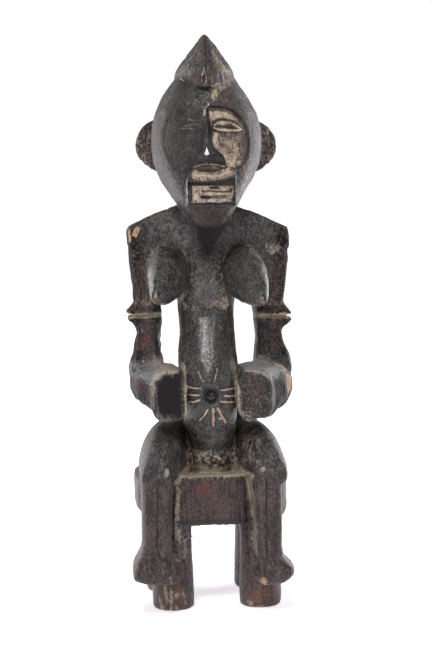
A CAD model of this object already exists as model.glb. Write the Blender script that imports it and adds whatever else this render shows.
import math

import bmesh
import bpy
import numpy as np
from mathutils import Matrix, Vector, kdtree


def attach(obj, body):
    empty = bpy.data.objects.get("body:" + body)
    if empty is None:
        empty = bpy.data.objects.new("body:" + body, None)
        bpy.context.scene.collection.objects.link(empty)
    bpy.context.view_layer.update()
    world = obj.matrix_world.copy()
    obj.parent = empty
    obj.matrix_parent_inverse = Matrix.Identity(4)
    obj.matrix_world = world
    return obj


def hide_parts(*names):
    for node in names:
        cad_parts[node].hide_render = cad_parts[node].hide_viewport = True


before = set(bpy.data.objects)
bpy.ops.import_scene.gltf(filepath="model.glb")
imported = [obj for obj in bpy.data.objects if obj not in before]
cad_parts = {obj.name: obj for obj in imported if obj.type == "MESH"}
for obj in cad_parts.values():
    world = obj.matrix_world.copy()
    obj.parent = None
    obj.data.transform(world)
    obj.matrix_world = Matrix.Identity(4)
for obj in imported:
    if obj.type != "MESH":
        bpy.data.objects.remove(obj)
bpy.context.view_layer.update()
bpy.ops.object.select_all(action="DESELECT")

# The camera stands 1.16 metres in front of the figure and a little to its left. It is held about 29
# centimetres above the ground, tipped down by less than four degrees and rolled by one.
bpy.ops.object.camera_add(location=(-0.0814, -1.1488, 0.290))
camera = bpy.context.object
camera.name = "camera"
camera.data.lens = 83.33
camera.data.clip_start = 0.05
turned = Matrix.Rotation(math.radians(-4.3), 4, "Z")
tipped = Matrix.Rotation(math.radians(86.262), 4, "X")
rolled = Matrix.Rotation(math.radians(-1.1), 4, "Z")
camera.rotation_euler = (turned @ tipped @ rolled).to_euler()
bpy.context.scene.camera = camera

# The stage is white paper on the floor and white all round, lit from below and behind so that it shows no
# horizon. Two tall soft lights stand beside the figure, a little behind it, and one hangs high in front.
bpy.ops.mesh.primitive_plane_add(size=8)
floor = bpy.context.object
floor.name = "floor"
paper = bpy.data.materials.new("paper")
paper.use_nodes = True
paper_surface = paper.node_tree.nodes["Principled BSDF"]
paper_surface.inputs["Base Color"].default_value = (0.84, 0.81, 0.86, 1)
paper_surface.inputs["Roughness"].default_value = 0.9
paper_surface.inputs["Specular IOR Level"].default_value = 0.0
paper_surface.inputs["Emission Color"].default_value = (1, 0.97, 1, 1)
paper_surface.inputs["Emission Strength"].default_value = 0.45
floor.data.materials.append(paper)

tent = bpy.data.worlds.new("tent")
tent.use_nodes = True
tent.node_tree.nodes["Background"].inputs["Color"].default_value = (1, 1, 1, 1)
tent.node_tree.nodes["Background"].inputs["Strength"].default_value = 0.40


def brighten_when_seen(stage_nodes, dim, bright, out):
    """Adds a glow to a stage surface that only a straight look at it shows, so that it comes out white."""
    seen = stage_nodes.nodes.new("ShaderNodeLightPath")
    either = stage_nodes.nodes.new("ShaderNodeMixShader")
    stage_nodes.links.new(seen.outputs["Is Camera Ray"], either.inputs["Fac"])
    stage_nodes.links.new(dim, either.inputs[1])
    stage_nodes.links.new(bright, either.inputs[2])
    stage_nodes.links.new(either.outputs[0], out)


white_air = tent.node_tree.nodes.new("ShaderNodeBackground")
white_air.inputs["Color"].default_value = (1, 1, 1, 1)
white_air.inputs["Strength"].default_value = 1.05
brighten_when_seen(
    tent.node_tree, tent.node_tree.nodes["Background"].outputs[0], white_air.outputs[0],
    tent.node_tree.nodes["World Output"].inputs["Surface"])
paper_glow = paper.node_tree.nodes.new("ShaderNodeEmission")
paper_glow.inputs["Color"].default_value = (1, 0.9, 1, 1)
place_on_paper = paper.node_tree.nodes.new("ShaderNodeTexCoord")
far_out = paper.node_tree.nodes.new("ShaderNodeVectorMath")
far_out.operation = "LENGTH"
rise = paper.node_tree.nodes.new("ShaderNodeMapRange")
for socket, value in (("From Min", 0.10), ("From Max", 0.45), ("To Min", 0.12), ("To Max", 0.60)):
    rise.inputs[socket].default_value = value
paper.node_tree.links.new(place_on_paper.outputs["Object"], far_out.inputs[0])
paper.node_tree.links.new(far_out.outputs["Value"], rise.inputs["Value"])
paper.node_tree.links.new(rise.outputs["Result"], paper_glow.inputs["Strength"])
glowing_paper = paper.node_tree.nodes.new("ShaderNodeAddShader")
paper.node_tree.links.new(paper_surface.outputs[0], glowing_paper.inputs[0])
paper.node_tree.links.new(paper_glow.outputs[0], glowing_paper.inputs[1])
brighten_when_seen(
    paper.node_tree, paper_surface.outputs[0], glowing_paper.outputs[0],
    paper.node_tree.nodes["Material Output"].inputs["Surface"])
bpy.context.scene.world = tent
bpy.context.scene.view_settings.view_transform = "Standard"


def soft_light(name, place, width, height, watts, aim_height=0.22):
    bpy.ops.object.light_add(type="AREA", location=place)
    lamp = bpy.context.object
    lamp.name = name
    lamp.data.shape = "RECTANGLE"
    lamp.data.size = width
    lamp.data.size_y = height
    lamp.data.energy = watts
    lamp.data.color = (0.98, 0.96, 1.0)
    aim = Vector((0, 0, aim_height)) - Vector(place)
    lamp.rotation_euler = aim.to_track_quat("-Z", "Y").to_euler()


soft_light("left_light", (-0.82, 0.60, 0.28), 0.6, 0.9, 8.4)
soft_light("right_light", (0.82, 0.60, 0.28), 0.6, 0.9, 10.6)
soft_light("high_light", (-0.22, -0.95, 1.25), 0.40, 0.30, 11)


# The stool is hewn from the same block as the woman. Its seat is a thick slab with rounded ends, and its
# four legs are round posts, worn smooth and uneven at the foot. Everything is carved in millimetres.
def outline_point(turn, square, flat_top, edge, taper):
    if flat_top and math.sin(turn) > 0:
        square = flat_top
    across = math.copysign(abs(math.cos(turn)) ** (2 / square), math.cos(turn))
    along = math.copysign(abs(math.sin(turn)) ** (2 / square), math.sin(turn))
    if along < 0:
        across *= abs(math.cos(turn)) ** edge
    return across * (1 - taper * along), along


def eased(cuts, steps):
    """Adds cuts between the given ones, on a curve that never swings past them."""
    rows = np.array(cuts, float)
    place = rows[:, 0]
    gap = np.diff(place)[:, None]
    slope = np.diff(rows, axis=0) / gap
    tangent = np.zeros_like(rows)
    tangent[0], tangent[-1] = slope[0], slope[-1]
    before, after = slope[:-1], slope[1:]
    steady = before * after > 0
    tangent[1:-1] = np.where(steady, 2 * before * after / np.where(steady, before + after, 1), 0)
    finer = []
    for row in range(len(rows) - 1):
        for step in range(steps):
            t = step / steps
            finer.append(
                (2 * t**3 - 3 * t**2 + 1) * rows[row]
                + (t**3 - 2 * t**2 + t) * gap[row] * tangent[row]
                + (3 * t**2 - 2 * t**3) * rows[row + 1]
                + (t**3 - t**2) * gap[row] * tangent[row + 1]
            )
    return finer + [rows[-1]]


def hew(name, cuts, lying=False, corners=36, square=2.3, edge=0.0, taper=0.0, steps=3, flat_top=None):
    """Draws one outline and pulls it from cut to cut. A cut is its height, left, right, front and back, or
    for a lying piece its distance back, left, right, low and high. A sixth number is its squareness."""
    cuts = [tuple(cut) + (square,) * (6 - len(cut)) for cut in cuts]
    bpy.ops.mesh.primitive_circle_add(vertices=corners, radius=1, fill_type="NGON")
    wood = bpy.context.object
    wood.name = name
    bpy.ops.object.mode_set(mode="EDIT")
    form = bmesh.from_edit_mesh(wood.data)
    turn_mark = form.verts.layers.float.new("turn")
    for corner in form.verts:
        corner[turn_mark] = math.atan2(corner.co.y, corner.co.x)
    last = None
    for place, left, right, near, far, own_square in eased(cuts, steps):
        middle = ((left + right) / 2, place, (near + far) / 2) if lying else (
            (left + right) / 2, (near + far) / 2, place)
        if last is not None:
            pull = Vector(middle) - Vector(last)
            bpy.ops.mesh.extrude_region_move(TRANSFORM_OT_translate={"value": pull})
        form = bmesh.from_edit_mesh(wood.data)
        turn_mark = form.verts.layers.float["turn"]
        half_wide, half_deep = (right - left) / 2, (far - near) / 2
        for corner in form.verts:
            if corner.select:
                u, v = outline_point(corner[turn_mark], own_square, flat_top, edge, taper)
                flat = (u * half_wide, 0, v * half_deep) if lying else (u * half_wide, v * half_deep, 0)
                corner.co = Vector(middle) + Vector(flat)
        last = middle
    bmesh.update_edit_mesh(wood.data)
    bpy.ops.mesh.select_all(action="SELECT")
    bpy.ops.mesh.normals_make_consistent(inside=False)
    bpy.ops.object.mode_set(mode="OBJECT")
    return wood


def sided(cut, sign):
    """Turns a cut given as height, outer, inner, front, back into left and right for its side."""
    place, outer, inner, near, far, *squareness = cut
    left, right = (-outer, -inner) if sign < 0 else (inner, outer)
    return place, left, right, near, far, *squareness


carved = []
carved.append(hew("seat", [
    (65, -49, 49, -41, 44), (66.5, -51.4, 51.6, -43, 47), (69, -53.6, 55, -44, 49), (73, -56.4, 57, -44, 50),
    (76.5, -58.9, 57.4, -44, 50), (80, -59.6, 57.2, -44, 50), (94, -59.8, 57.4, -44, 50), (96.6, -59.6, 55.6, -44, 50),
    (99, -59.2, 53, -43.8, 49.6), (101.4, -56.4, 49.6, -43.6, 47), (103, -52, 46, -43, 42),
], corners=72, square=4.2, steps=1))
for leg_name, x, y, radius in (
    ("front_left_leg", -32.4, -25, 15.8), ("front_right_leg", 34.3, -25, 16.0),
    ("back_left_leg", -35.6, 34, 15.6), ("back_right_leg", 35.3, 34, 15.7),
):
    rings = [(0, radius - 2.6), (0.9, radius - 1.0), (3, radius - 0.2), (10, radius), (48, radius - 1.2), (72, radius - 0.4)]
    carved.append(hew(leg_name, [(z, x - r, x + r, y - r, y + r) for z, r in rings], square=2.1))

# The waist, belly and lap are one column that swells forward to a pointed belly. Behind it are the
# buttocks, and the navel is a round knob in a ring that was cut round it.
carved.append(hew("trunk", [
    (98, -15, 14, -26, 34, 2.7), (109, -17, 16, -34, 38, 2.7), (125, -18, 17, -43, 38, 2.7),
    (146, -22, 19, -53, 30, 2.7), (165, -23, 20, -55, 21, 2.6), (181, -24.4, 21.0, -46.5, 17, 2.3),
    (189, -24.8, 20.8, -41.6, 17, 2.3), (197, -24.0, 20.2, -37, 17, 2.2), (210, -22.5, 19.5, -30, 17, 2.2),
    (225, -23.0, 19.3, -24, 17, 2.3),
    (248, -26, 25, -18, 17, 2.6), (262, -32, 30, -13, 14, 2.7),
], corners=44))
for sign in (-1, 1):
    bpy.ops.mesh.primitive_uv_sphere_add(segments=32, ring_count=16, location=(sign * 19, 24, 124), scale=(23, 20, 27))
    carved.append(bpy.context.object)

# The shoulders are one square yoke, flat in front, with the chest's lower edge running into the arms.
shoulder_line = [
    (-42.4, 249), (-53, 262), (-60.2, 274), (-60.9, 289.8), (-54, 293.6), (-46, 297.8), (-38, 301.0),
    (-30, 303.6), (-22, 306.6), (22, 305.2), (30, 302.3), (38, 299.0), (46, 295.2), (54, 291.2), (60.6, 288.2),
    (62.6, 285.5), (61.8, 274), (55.6, 262), (42.8, 249),
]
bpy.ops.mesh.primitive_circle_add(vertices=len(shoulder_line), radius=1, fill_type="NGON")
yoke = bpy.context.object
for corner, (x, z) in zip(yoke.data.vertices, shoulder_line):
    corner.co = (x, -16, z)
bpy.ops.object.mode_set(mode="EDIT")
bpy.ops.mesh.select_all(action="SELECT")
bpy.ops.mesh.extrude_region_move(TRANSFORM_OT_translate={"value": (0, 32, 0)})
bpy.ops.mesh.select_all(action="SELECT")
bpy.ops.mesh.normals_make_consistent(inside=False)
bpy.ops.object.mode_set(mode="OBJECT")
bpy.ops.object.modifier_add(type="BEVEL")
yoke.modifiers[-1].width = 3
yoke.modifiers[-1].segments = 3
yoke.modifiers[-1].limit_method = "ANGLE"
bpy.ops.object.modifier_apply(modifier=yoke.modifiers[-1].name)
carved.append(yoke)

# Each arm hangs straight from the yoke. Above the elbow it wears an armlet, two flared rings with a
# groove between them, and below it the forearm and hand are one thick block that ends beside the belly.
for sign, shoulder, shoulder_top, arm_top, arm_foot, inner, flare, ring_top, wrist, elbow, hand_outer, hand_inner in (
    (-1, 60.6, 290.5, 58.6, 56.4, 36.4, 62.0, 225.5, 56, 61.3, 45.5, 20),
    (1, 62.2, 286.5, 60.9, 58.8, 35.6, 64.0, 222.5, 57.2, 63.8, 43.3, 17),
):
    arm_cuts = [
        (170, elbow - 2.5, inner - 1, -13, 11), (173, elbow - 1, inner - 2, -15, 13), (182, elbow, inner - 1, -16, 14),
        (196, elbow - 4, inner, -14, 13), (ring_top - 20, wrist + 0.3, inner + 1.2, -11.5, 12),
        (ring_top - 14, wrist, inner + 1, -11.5, 12), (ring_top - 7, flare - 1.6, inner, -15, 16),
        (ring_top - 5.2, flare - 0.2, inner, -16.6, 17.6), (ring_top - 4.6, flare - 0.4, inner, -16.4, 17.4),
        (ring_top - 4.0, flare - 4.2, inner, -12.6, 13.6), (ring_top - 1.4, flare - 4.2, inner, -12.6, 13.6),
        (ring_top - 0.8, flare - 0.4, inner, -16.4, 17.4), (ring_top, flare, inner, -16.6, 17.6),
        (ring_top + 2.4, flare - 2.2, inner, -14.8, 15.8), (ring_top + 8, arm_foot, inner, -12, 13),
        (259, arm_top + 0.6, inner, -14.5, 15), (272, shoulder - 0.2, inner, -15, 15.5),
        (shoulder_top - 6, shoulder - 0.3, inner, -15, 15.5), (shoulder_top - 2, shoulder - 2, inner, -13, 14),
    ]
    carved.append(hew("arm", [sided(cut, sign) for cut in arm_cuts], square=4))
    lift, ledge = (3.8, 2.9) if sign < 0 else (-1.3, 2.3)
    hand_cuts = [
        (-50.4, hand_outer - 0.6, hand_inner, 146.6, 182, 3.6), (-49.8, hand_outer + 0.3, hand_inner, 145.6, 183, 3.6),
        (-46.4, hand_outer + 1.8, hand_inner, 146.8 + 0.6 * lift, 182.8, 3.2),
        (-42, hand_outer + 5.6, hand_inner, 147 + 1.4 * lift, 183.2, 3.0), (-34, hand_outer + 11.2, hand_inner, 149.6 + 1.5 * lift, 183.6, ledge),
        (-20, elbow - 2.0, hand_inner, 150.4 + 1.3 * lift, 184.6, ledge), (-4, elbow - 0.6, hand_inner, 152 + lift, 185, ledge),
        (8, elbow - 1.5, hand_inner + 4, 156.6 + lift, 184.5, 2.2), (15, elbow - 6, hand_inner + 8, 163, 182, 2.2),
    ]
    carved.append(hew("forearm", [sided(cut, sign) for cut in hand_cuts], lying=True, flat_top=2.7, corners=52))

# The breasts are long cones whose outer sides stand upright, with the tip low at the outer corner.
carved.append(hew("left_breast", [
    (-10, -46.6, -14.5, 232, 277), (-20, -46.6, -14.8, 231.4, 276), (-28, -46.4, -17, 231, 271), (-36, -46, -21.5, 231, 264),
    (-43, -45.8, -28, 231.4, 255), (-48, -45.3, -34, 232.4, 247), (-51, -44.6, -38.2, 233.6, 242), (-52.8, -43, -40.4, 235.4, 239),
], lying=True, square=2.1, corners=44))
carved.append(hew("right_breast", [
    (-10, 9.5, 43.8, 230, 276), (-20, 9.8, 43.8, 229.8, 275), (-28, 12, 43.6, 229.5, 269), (-36, 16, 43.2, 229.2, 261),
    (-43, 22, 42.4, 229.4, 252), (-48, 27.5, 41.2, 230, 243.5), (-51, 31.8, 39.8, 231.2, 238.5), (-52.8, 34, 37.6, 232.8, 236),
], lying=True, square=2.1, corners=44))

for breast, sign, tip in ((carved[-2], -1, -42), (carved[-1], 1, 37)):
    for corner in breast.data.vertices:
        inward = max(0, sign * (tip - corner.co.x))
        corner.co.z += 0.2 * inward * min(1, max(0, 250 - corner.co.z) / 16)

# The thighs lie on the seat as tall arches and turn down at the knee. The shins stand like blades in front
# of the stool's legs, and flare outward into block-like feet turned out.
leg_cuts = {
    -1: [
        (24.8, 50.0, 31, -56, -34), (25.8, 53.2, 30.4, -62, -34), (27.2, 57.4, 30.4, -65.4, -34), (28.6, 61.8, 30.8, -66.2, -34),
        (31, 63.0, 31.5, -66.8, -34), (36, 63.3, 33.0, -66.6, -34), (41, 62.4, 33.8, -66, -34), (45.5, 60, 34.1, -65.2, -33),
        (50, 57.7, 34.2, -64.6, -32), (56, 56.3, 34.2, -64, -32),
        (78, 56, 34.2, -63.5, -32), (100, 56, 31.2, -64, -32), (116, 54.5, 34.2, -61, -34),
    ],
    1: [
        (21.6, 43.6, 33.5, -56, -34), (22.8, 46.8, 32.4, -62, -34), (24.8, 51.0, 31.4, -65.0, -34), (27.2, 54.6, 31.4, -66.2, -34),
        (30.6, 56.8, 31.8, -66.4, -34), (35, 56.9, 32.0, -66.2, -34), (38.5, 54.2, 31.4, -65.6, -34), (42, 51.0, 29.4, -64.8, -34),
        (46, 49.2, 28.3, -64.2, -33), (52, 48.4, 28.3, -64, -32),
        (78, 48.8, 28.3, -63.5, -32), (100, 48.6, 25.3, -64, -32), (116, 47.1, 28.3, -61, -34),
    ],
}
for sign, out, low in ((-1, 0.5, 0), (1, -2.6, 1.4)):
    thigh_cuts = [
        (-64.5, 6, 44, 100, 112), (-62, 10.5, 43.8, 97, 120), (-54, 12.6, 43, 94, 129.6 - low), (-42, 15.2, 40.3, 92, 136 - low),
        (-25, 19, 36.3, 92, 141 - low), (0, 22.5, 31.5, 92, 142 - low), (24, 22, 25, 94, 138),
    ]
    arch = [(y, sign * (middle + out) - half, sign * (middle + out) + half, under, over) for y, half, middle, under, over in thigh_cuts]
    carved.append(hew("thigh", arch, lying=True, square=2.2, taper=0.29, corners=44))
    carved.append(hew("shin_and_foot", [sided(cut, sign) for cut in leg_cuts[sign]], square=4.2, edge=0.12, corners=52))

# The neck is a short post under the jaw. The head is an egg with its narrow end at the jaw, and the face is
# cut a little below its surface, so a step runs round it.
carved.append(hew("neck", [(276, -30, 30, -17, 15), (286, -24, 24, -19, 13), (296, -18, 18, -23, 11), (318, -17, 17, -26, 10)]))
egg_cuts = [
    (297, -15, 16, -55, -14, 3.4), (306.5, -22.6, 22.2, -57, 8, 3.4), (316.6, -29.3, 28.4, -56.5, 21, 3),
    (327, -35.4, 35.4, -55.5, 30, 2.7), (341, -39.8, 40.9, -54, 36, 2.5), (352, -40.8, 42.3, -52, 38, 2.4),
    (363, -40.6, 42, -50.5, 38, 2.3), (375, -38.2, 39, -48, 36, 2.3), (382, -35.4, 35.6, -46.2, 34, 2.2),
    (389, -31.9, 31.4, -44, 31, 2.2), (397, -26.4, 26.0, -40.6, 27, 2.2), (404, -20.6, 21, -37, 22, 2.2),
    (412, -12, 13, -30, 16, 2.2),
]
head = hew("head", egg_cuts, corners=64)


def plate(name, rim, front, back):
    """A flat shape of a drawn rim, front to back."""
    bpy.ops.mesh.primitive_circle_add(vertices=len(rim), radius=1, fill_type="NGON")
    made = bpy.context.object
    made.name = name
    for corner, (x, z) in zip(made.data.vertices, rim):
        corner.co = (x, front, z)
    bpy.ops.object.mode_set(mode="EDIT")
    bpy.ops.mesh.select_all(action="SELECT")
    bpy.ops.mesh.extrude_region_move(TRANSFORM_OT_translate={"value": (0, back - front, 0)})
    bpy.ops.mesh.select_all(action="SELECT")
    bpy.ops.mesh.normals_make_consistent(inside=False)
    bpy.ops.object.mode_set(mode="OBJECT")
    return made


def cut_away(whole, tool, operation="DIFFERENCE"):
    """Applies one solid to another, and takes the tool away."""
    bpy.ops.object.select_all(action="DESELECT")
    bpy.context.view_layer.objects.active = whole
    whole.select_set(True)
    bpy.ops.object.modifier_add(type="BOOLEAN")
    whole.modifiers[-1].object = tool
    whole.modifiers[-1].operation = operation
    whole.modifiers[-1].solver = "EXACT"
    bpy.ops.object.modifier_apply(modifier=whole.modifiers[-1].name)
    bpy.data.objects.remove(tool)
    whole.select_set(False)


carved.append(head)

# The crest is a keel from the brow to the nape, with a sharp bow. Its lower rim stands proud of the head
# like the edge of a cap, and dips to a point over the brow.
crest = hew("crest", [
    (363, -19, 20, -40, 37), (387, -24, 23.8, -49, 37), (405, -22.4, 22.4, -46, 32), (412, -18.7, 18.9, -42, 28),
    (418, -14.0, 14.6, -37.6, 24), (424, -9.4, 10.8, -32.4, 19), (430, -4.6, 5.7, -26, 12), (433.4, -1.9, 3.0, -20, 5),
    (434.5, -0.6, 1.6, -14, -3),
], corners=48, square=2, edge=0.55)
bow = 392.5
under_rim = [(-70, 343), (-70, bow - 4), (-47, bow), (-4, 403), (22, 397), (56, 366), (56, 343)]
under = plate("under", under_rim, -60, 60)
under.rotation_euler = (0, 0, math.radians(90))
bpy.ops.object.transform_apply(location=True, rotation=True, scale=True)
cut_away(crest, under)
carved.append(crest)

# The nose, the lens of the lips, the square muzzle and the chin stand out of the face. The ears are thin
# plates set across the head.
carved.append(hew("nose", [
    (333.5, -11.5, 10, -55.5, -44), (336.5, -13, 11.2, -59, -44), (339.5, -11.6, 9.4, -62, -44),
    (343.5, -9, 5.6, -62.6, -44), (348, -6.4, 3.2, -60.6, -43), (352.5, -5.4, 2.4, -58.5, -42), (360, -4.8, 1.6, -55.6, -41),
    (367, -4.5, 0.9, -53.2, -40), (377, -4.4, 0.5, -50, -38),
], edge=0.5, steps=4))
bpy.ops.mesh.primitive_uv_sphere_add(segments=32, ring_count=16, location=(-1.5, -52.8, 333.3), scale=(13.2, 6.6, 3.5))
carved.append(bpy.context.object)
carved.append(hew("muzzle", [
    (304.6, -18.4, 18.6, -57.8, -38), (305.6, -18.4, 18.6, -57.8, -38), (322, -18.3, 19, -57.8, -38),
    (326, -17.4, 19.2, -57.4, -38), (331, -15.4, 19, -55.2, -38), (337, -13, 17, -51, -38),
], square=12, corners=60))
carved.append(hew("chin", [
    (289.5, -7, 7, -51, -36), (292.5, -11.5, 11.5, -54, -28), (299, -14.4, 15, -56, -22), (305, -16, 16.5, -56.5, -18),
], square=3))
for sign, reach, middle in ((-1, 14.5, 353), (1, 15, 351.5)):
    ear_rim = [(-6, 19.4), (0, 19), (4.6, 17.2), (8.8, 14), (12.2, 10), (reach - 0.3, 5), (reach, 0), (reach - 0.3, -5), (12, -9.6), (8.2, -13.7), (3.2, -17.4), (0, -19.2), (-6, -20.4)]
    ear = plate("ear", [(sign * x, z) for x, z in ear_rim], -3, 3)
    bpy.ops.object.modifier_add(type="BEVEL")
    ear.modifiers[-1].width = 1.2
    ear.modifiers[-1].segments = 2
    ear.modifiers[-1].limit_method = "ANGLE"
    bpy.ops.object.modifier_apply(modifier=ear.modifiers[-1].name)
    ear.rotation_euler = (0, 0, sign * math.radians(14))
    ear.location = (sign * 39.5 + 1.6, 7, middle)
    bpy.ops.object.transform_apply(location=True, rotation=True, scale=True)
    carved.append(ear)

# A sliver of wood has split from the left front leg and stands off its inner side.
bpy.ops.mesh.primitive_cone_add(vertices=7, radius1=1.5, radius2=0.7, depth=11.5)
sliver = bpy.context.object
sliver.rotation_euler = Vector((9, -0.4, 4.6)).to_track_quat("Z", "Y").to_euler()
sliver.location = (-22.6, -38.2, 54.2)
bpy.ops.object.transform_apply(location=True, rotation=True, scale=True)
carved.append(sliver)

# All of it is one block of wood, so the pieces are made one skin. The face, the belly and the other places
# with fine cuts get a closer skin.
bpy.ops.object.select_all(action="DESELECT")
for piece in carved:
    piece.select_set(True)
bpy.context.view_layer.objects.active = carved[0]
bpy.ops.object.join()
figure = bpy.context.object
figure.name = "carved_figure"
figure.data.name = "carved_figure"
figure.data.remesh_voxel_size = 0.75
bpy.ops.object.voxel_remesh()
while figure.data.uv_layers:
    figure.data.uv_layers.remove(figure.data.uv_layers[0])
bpy.ops.object.modifier_add(type="SMOOTH")
figure.modifiers[-1].factor = 0.5
figure.modifiers[-1].iterations = 2
bpy.ops.object.modifier_apply(modifier=figure.modifiers[-1].name)
bpy.ops.object.mode_set(mode="EDIT")
bpy.ops.mesh.select_all(action="DESELECT")
form = bmesh.from_edit_mesh(figure.data)
for face in form.faces:
    middle = face.calc_center_median()
    in_face = 286 < middle.z < 412 and middle.y < -26 and abs(middle.x) < 36
    in_belly = 138 < middle.z < 186 and middle.y < -40 and abs(middle.x) < 25
    if (in_face or in_belly) and face.normal.y < 0.2:
        face.select = True
bmesh.update_edit_mesh(figure.data)
bpy.ops.mesh.subdivide(number_cuts=1)
bpy.ops.object.mode_set(mode="OBJECT")


def places_of(mesh):
    places = np.empty(len(mesh.vertices) * 3)
    mesh.vertices.foreach_get("co", places)
    return places.reshape(-1, 3)


def facings_of(mesh):
    facings = np.empty(len(mesh.vertices) * 3)
    mesh.vertices.foreach_get("normal", facings)
    return facings.reshape(-1, 3)


points = places_of(figure.data)
facing = facings_of(figure.data)
ends = np.empty(len(figure.data.edges) * 2, int)
figure.data.edges.foreach_get("vertices", ends)
one_end, other_end = ends[::2], ends[1::2]
neighbours = np.bincount(one_end, minlength=len(points)) + np.bincount(other_end, minlength=len(points))


def softened(values, rounds):
    """Each point takes half of its own value and half of its neighbours', some rounds over."""
    columns = values.reshape(len(values), -1).T.copy()
    for column in columns:
        for _ in range(rounds):
            total = np.bincount(one_end, column[other_end], len(column))
            total += np.bincount(other_end, column[one_end], len(column))
            column[:] = 0.5 * column + 0.5 * total / neighbours
    return columns.T.reshape(values.shape)


def step_up(value, low, high):
    t = np.clip((value - low) / (high - low), 0, 1)
    return t * t * (3 - 2 * t)


def chance(places, size, seed):
    """Smooth chance values from -1 to 1 through space, with a swell about every size millimetres."""
    cell = places / np.array(size, float) + 31.7 * seed
    low = np.floor(cell).astype(np.int64)
    part = cell - low
    part = part * part * (3 - 2 * part)
    total = np.zeros(len(places))
    for corner in np.ndindex(2, 2, 2):
        grid = low + np.array(corner)
        mixed = (grid[:, 0] * 73856093) ^ (grid[:, 1] * 19349663) ^ (grid[:, 2] * 83492791)
        mixed = ((mixed ^ (mixed >> 13)) * 1274126177) & 0xFFFFFF
        share = np.prod(np.where(corner, part, 1 - part), axis=1)
        total += share * (mixed / 0x7FFFFF - 1)
    return total


def rough(places, size, seed):
    """Three sizes of chance laid over each other."""
    size = np.array(size, float)
    return (chance(places, size, seed) + 0.5 * chance(places, size / 2, seed + 1) + 0.25 * chance(places, size / 4, seed + 2)) / 1.3


# The adze and the knife left flat facets all over, longer than they are wide. Each is a plane through one
# spot of the skin, and every point is drawn part of the way to the planes of its nearest spots.
chooser = np.random.default_rng(7)
spots = chooser.choice(len(points), 2200, replace=False)
smooth_skin = softened(points, 24)
smooth_facing = softened(facing, 12)
smooth_facing /= np.linalg.norm(smooth_facing, axis=1)[:, None]
LONG = np.array([1, 1, 0.4])
tree = kdtree.KDTree(len(spots))
for number, spot in enumerate(spots):
    tree.insert(points[spot] * LONG, number)
tree.balance()
pull = np.zeros(len(points))
stretched = points * LONG
for number in range(len(points)):
    total = weight = 0.0
    found = tree.find_n(stretched[number], 3)
    nearest = found[0][2]
    for _, index, distance in found:
        spot = spots[index]
        share = math.exp(-((distance * distance - nearest * nearest) / 6.0))
        plane = smooth_facing[spot]
        total += share * float((points[number] - smooth_skin[spot]) @ plane)
        weight += share
    pull[number] = total / weight
x, y, z = points.T
calm = step_up(z, 286, 300) * step_up(-y, 20, 34) * (1 - step_up(z, 392, 400))
on_thighs = (1 - step_up(z, 140, 150)) * step_up(np.abs(x), 14, 20)
worn_smooth = np.maximum((1 - step_up(z, 128, 150)) * 0.55, 0.85 * on_thighs) + step_up(z, 284, 294) * 0.6
amount = (0.55 + 0.35 * step_up(y, -8, 6)) * (1 - 0.95 * calm) * (1 - worn_smooth)
points -= smooth_facing * (np.clip(pull, -1.2, 1.2) * amount)[:, None]
points += facing * (0.22 * (1 - calm) * rough(points, (3, 3, 7), 3))[:, None]
points += facing * (0.10 * (1 - calm) * rough(points, (1.6, 1.6, 2.4), 13))[:, None]
shins = (1 - step_up(z, 104, 122)) * step_up(-y, 30, 40)
points += facing * (0.34 * shins * rough(points, (2.6, 4, 60), 17))[:, None]
head_sides = step_up(z, 300, 312) * (1 - calm)
points += facing * (0.36 * head_sides * rough(points, (1.7, 1.7, 15), 19))[:, None]


def from_line(line, low=-75, high=-8):
    """How far each point that faces the front lies from a line drawn in the front view."""
    best = np.full(len(points), 99.0)
    line = np.array(line, float)
    near = np.nonzero(
        (facing[:, 1] < 0.3) & (points[:, 1] > low) & (points[:, 1] < high)
        & (points[:, 0] > line[:, 0].min() - 8) & (points[:, 0] < line[:, 0].max() + 8)
        & (points[:, 2] > line[:, 1].min() - 8) & (points[:, 2] < line[:, 1].max() + 8))[0]
    flat = points[near][:, [0, 2]]
    for start, end in zip(line, line[1:]):
        along = end - start
        t = np.clip(((flat - start) @ along) / max(along @ along, 1e-9), 0, 1)
        distance = np.linalg.norm(flat - start - t[:, None] * along, axis=1)
        best[near] = np.minimum(best[near], distance)
    return best


def within(rim, low=-75, high=-8):
    """How far inside a rim drawn in the front view each front point lies. Outside it is less than zero."""
    rim = np.array(rim, float)
    closed = np.vstack([rim, rim[:1]])
    distance = from_line(closed, low, high)
    x, z = points[:, 0], points[:, 2]
    inside = np.zeros(len(points), bool)
    for (x0, z0), (x1, z1) in zip(closed, closed[1:]):
        crosses = (z0 > z) != (z1 > z)
        inside ^= crosses & (x < (x1 - x0) * (z - z0) / (z1 - z0 + 1e-12) + x0)
    front = (facing[:, 1] < 0.3) & (points[:, 1] > low) & (points[:, 1] < high)
    return np.where(inside & front, distance, -distance)


def area(rim, soft=0.5, low=-75, high=-8):
    return step_up(within(rim, low, high), -soft, soft)


def stroke(line, width, low=-75, high=-8):
    return np.exp(-((from_line(line, low, high) / width) ** 2))


def patch(middle, size, soft=0.5):
    """One inside an egg of this middle and half-size, fading to nothing outside it."""
    distance = np.sqrt((((points - np.array(middle)) / np.array(size)) ** 2).sum(1))
    return 1 - step_up(distance, 1 - soft, 1 + soft)


def press(amount):
    """Moves points straight back into the front, by an amount for each."""
    points[:, 1] += amount


finish = {name: np.zeros(len(points)) for name in (
    "pale", "crust", "dust", "veil", "chalk", "ochre", "bare", "brown", "red", "warm", "soot", "polish", "dull")}


def lay(name, share):
    finish[name] = np.maximum(finish[name], share)


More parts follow.
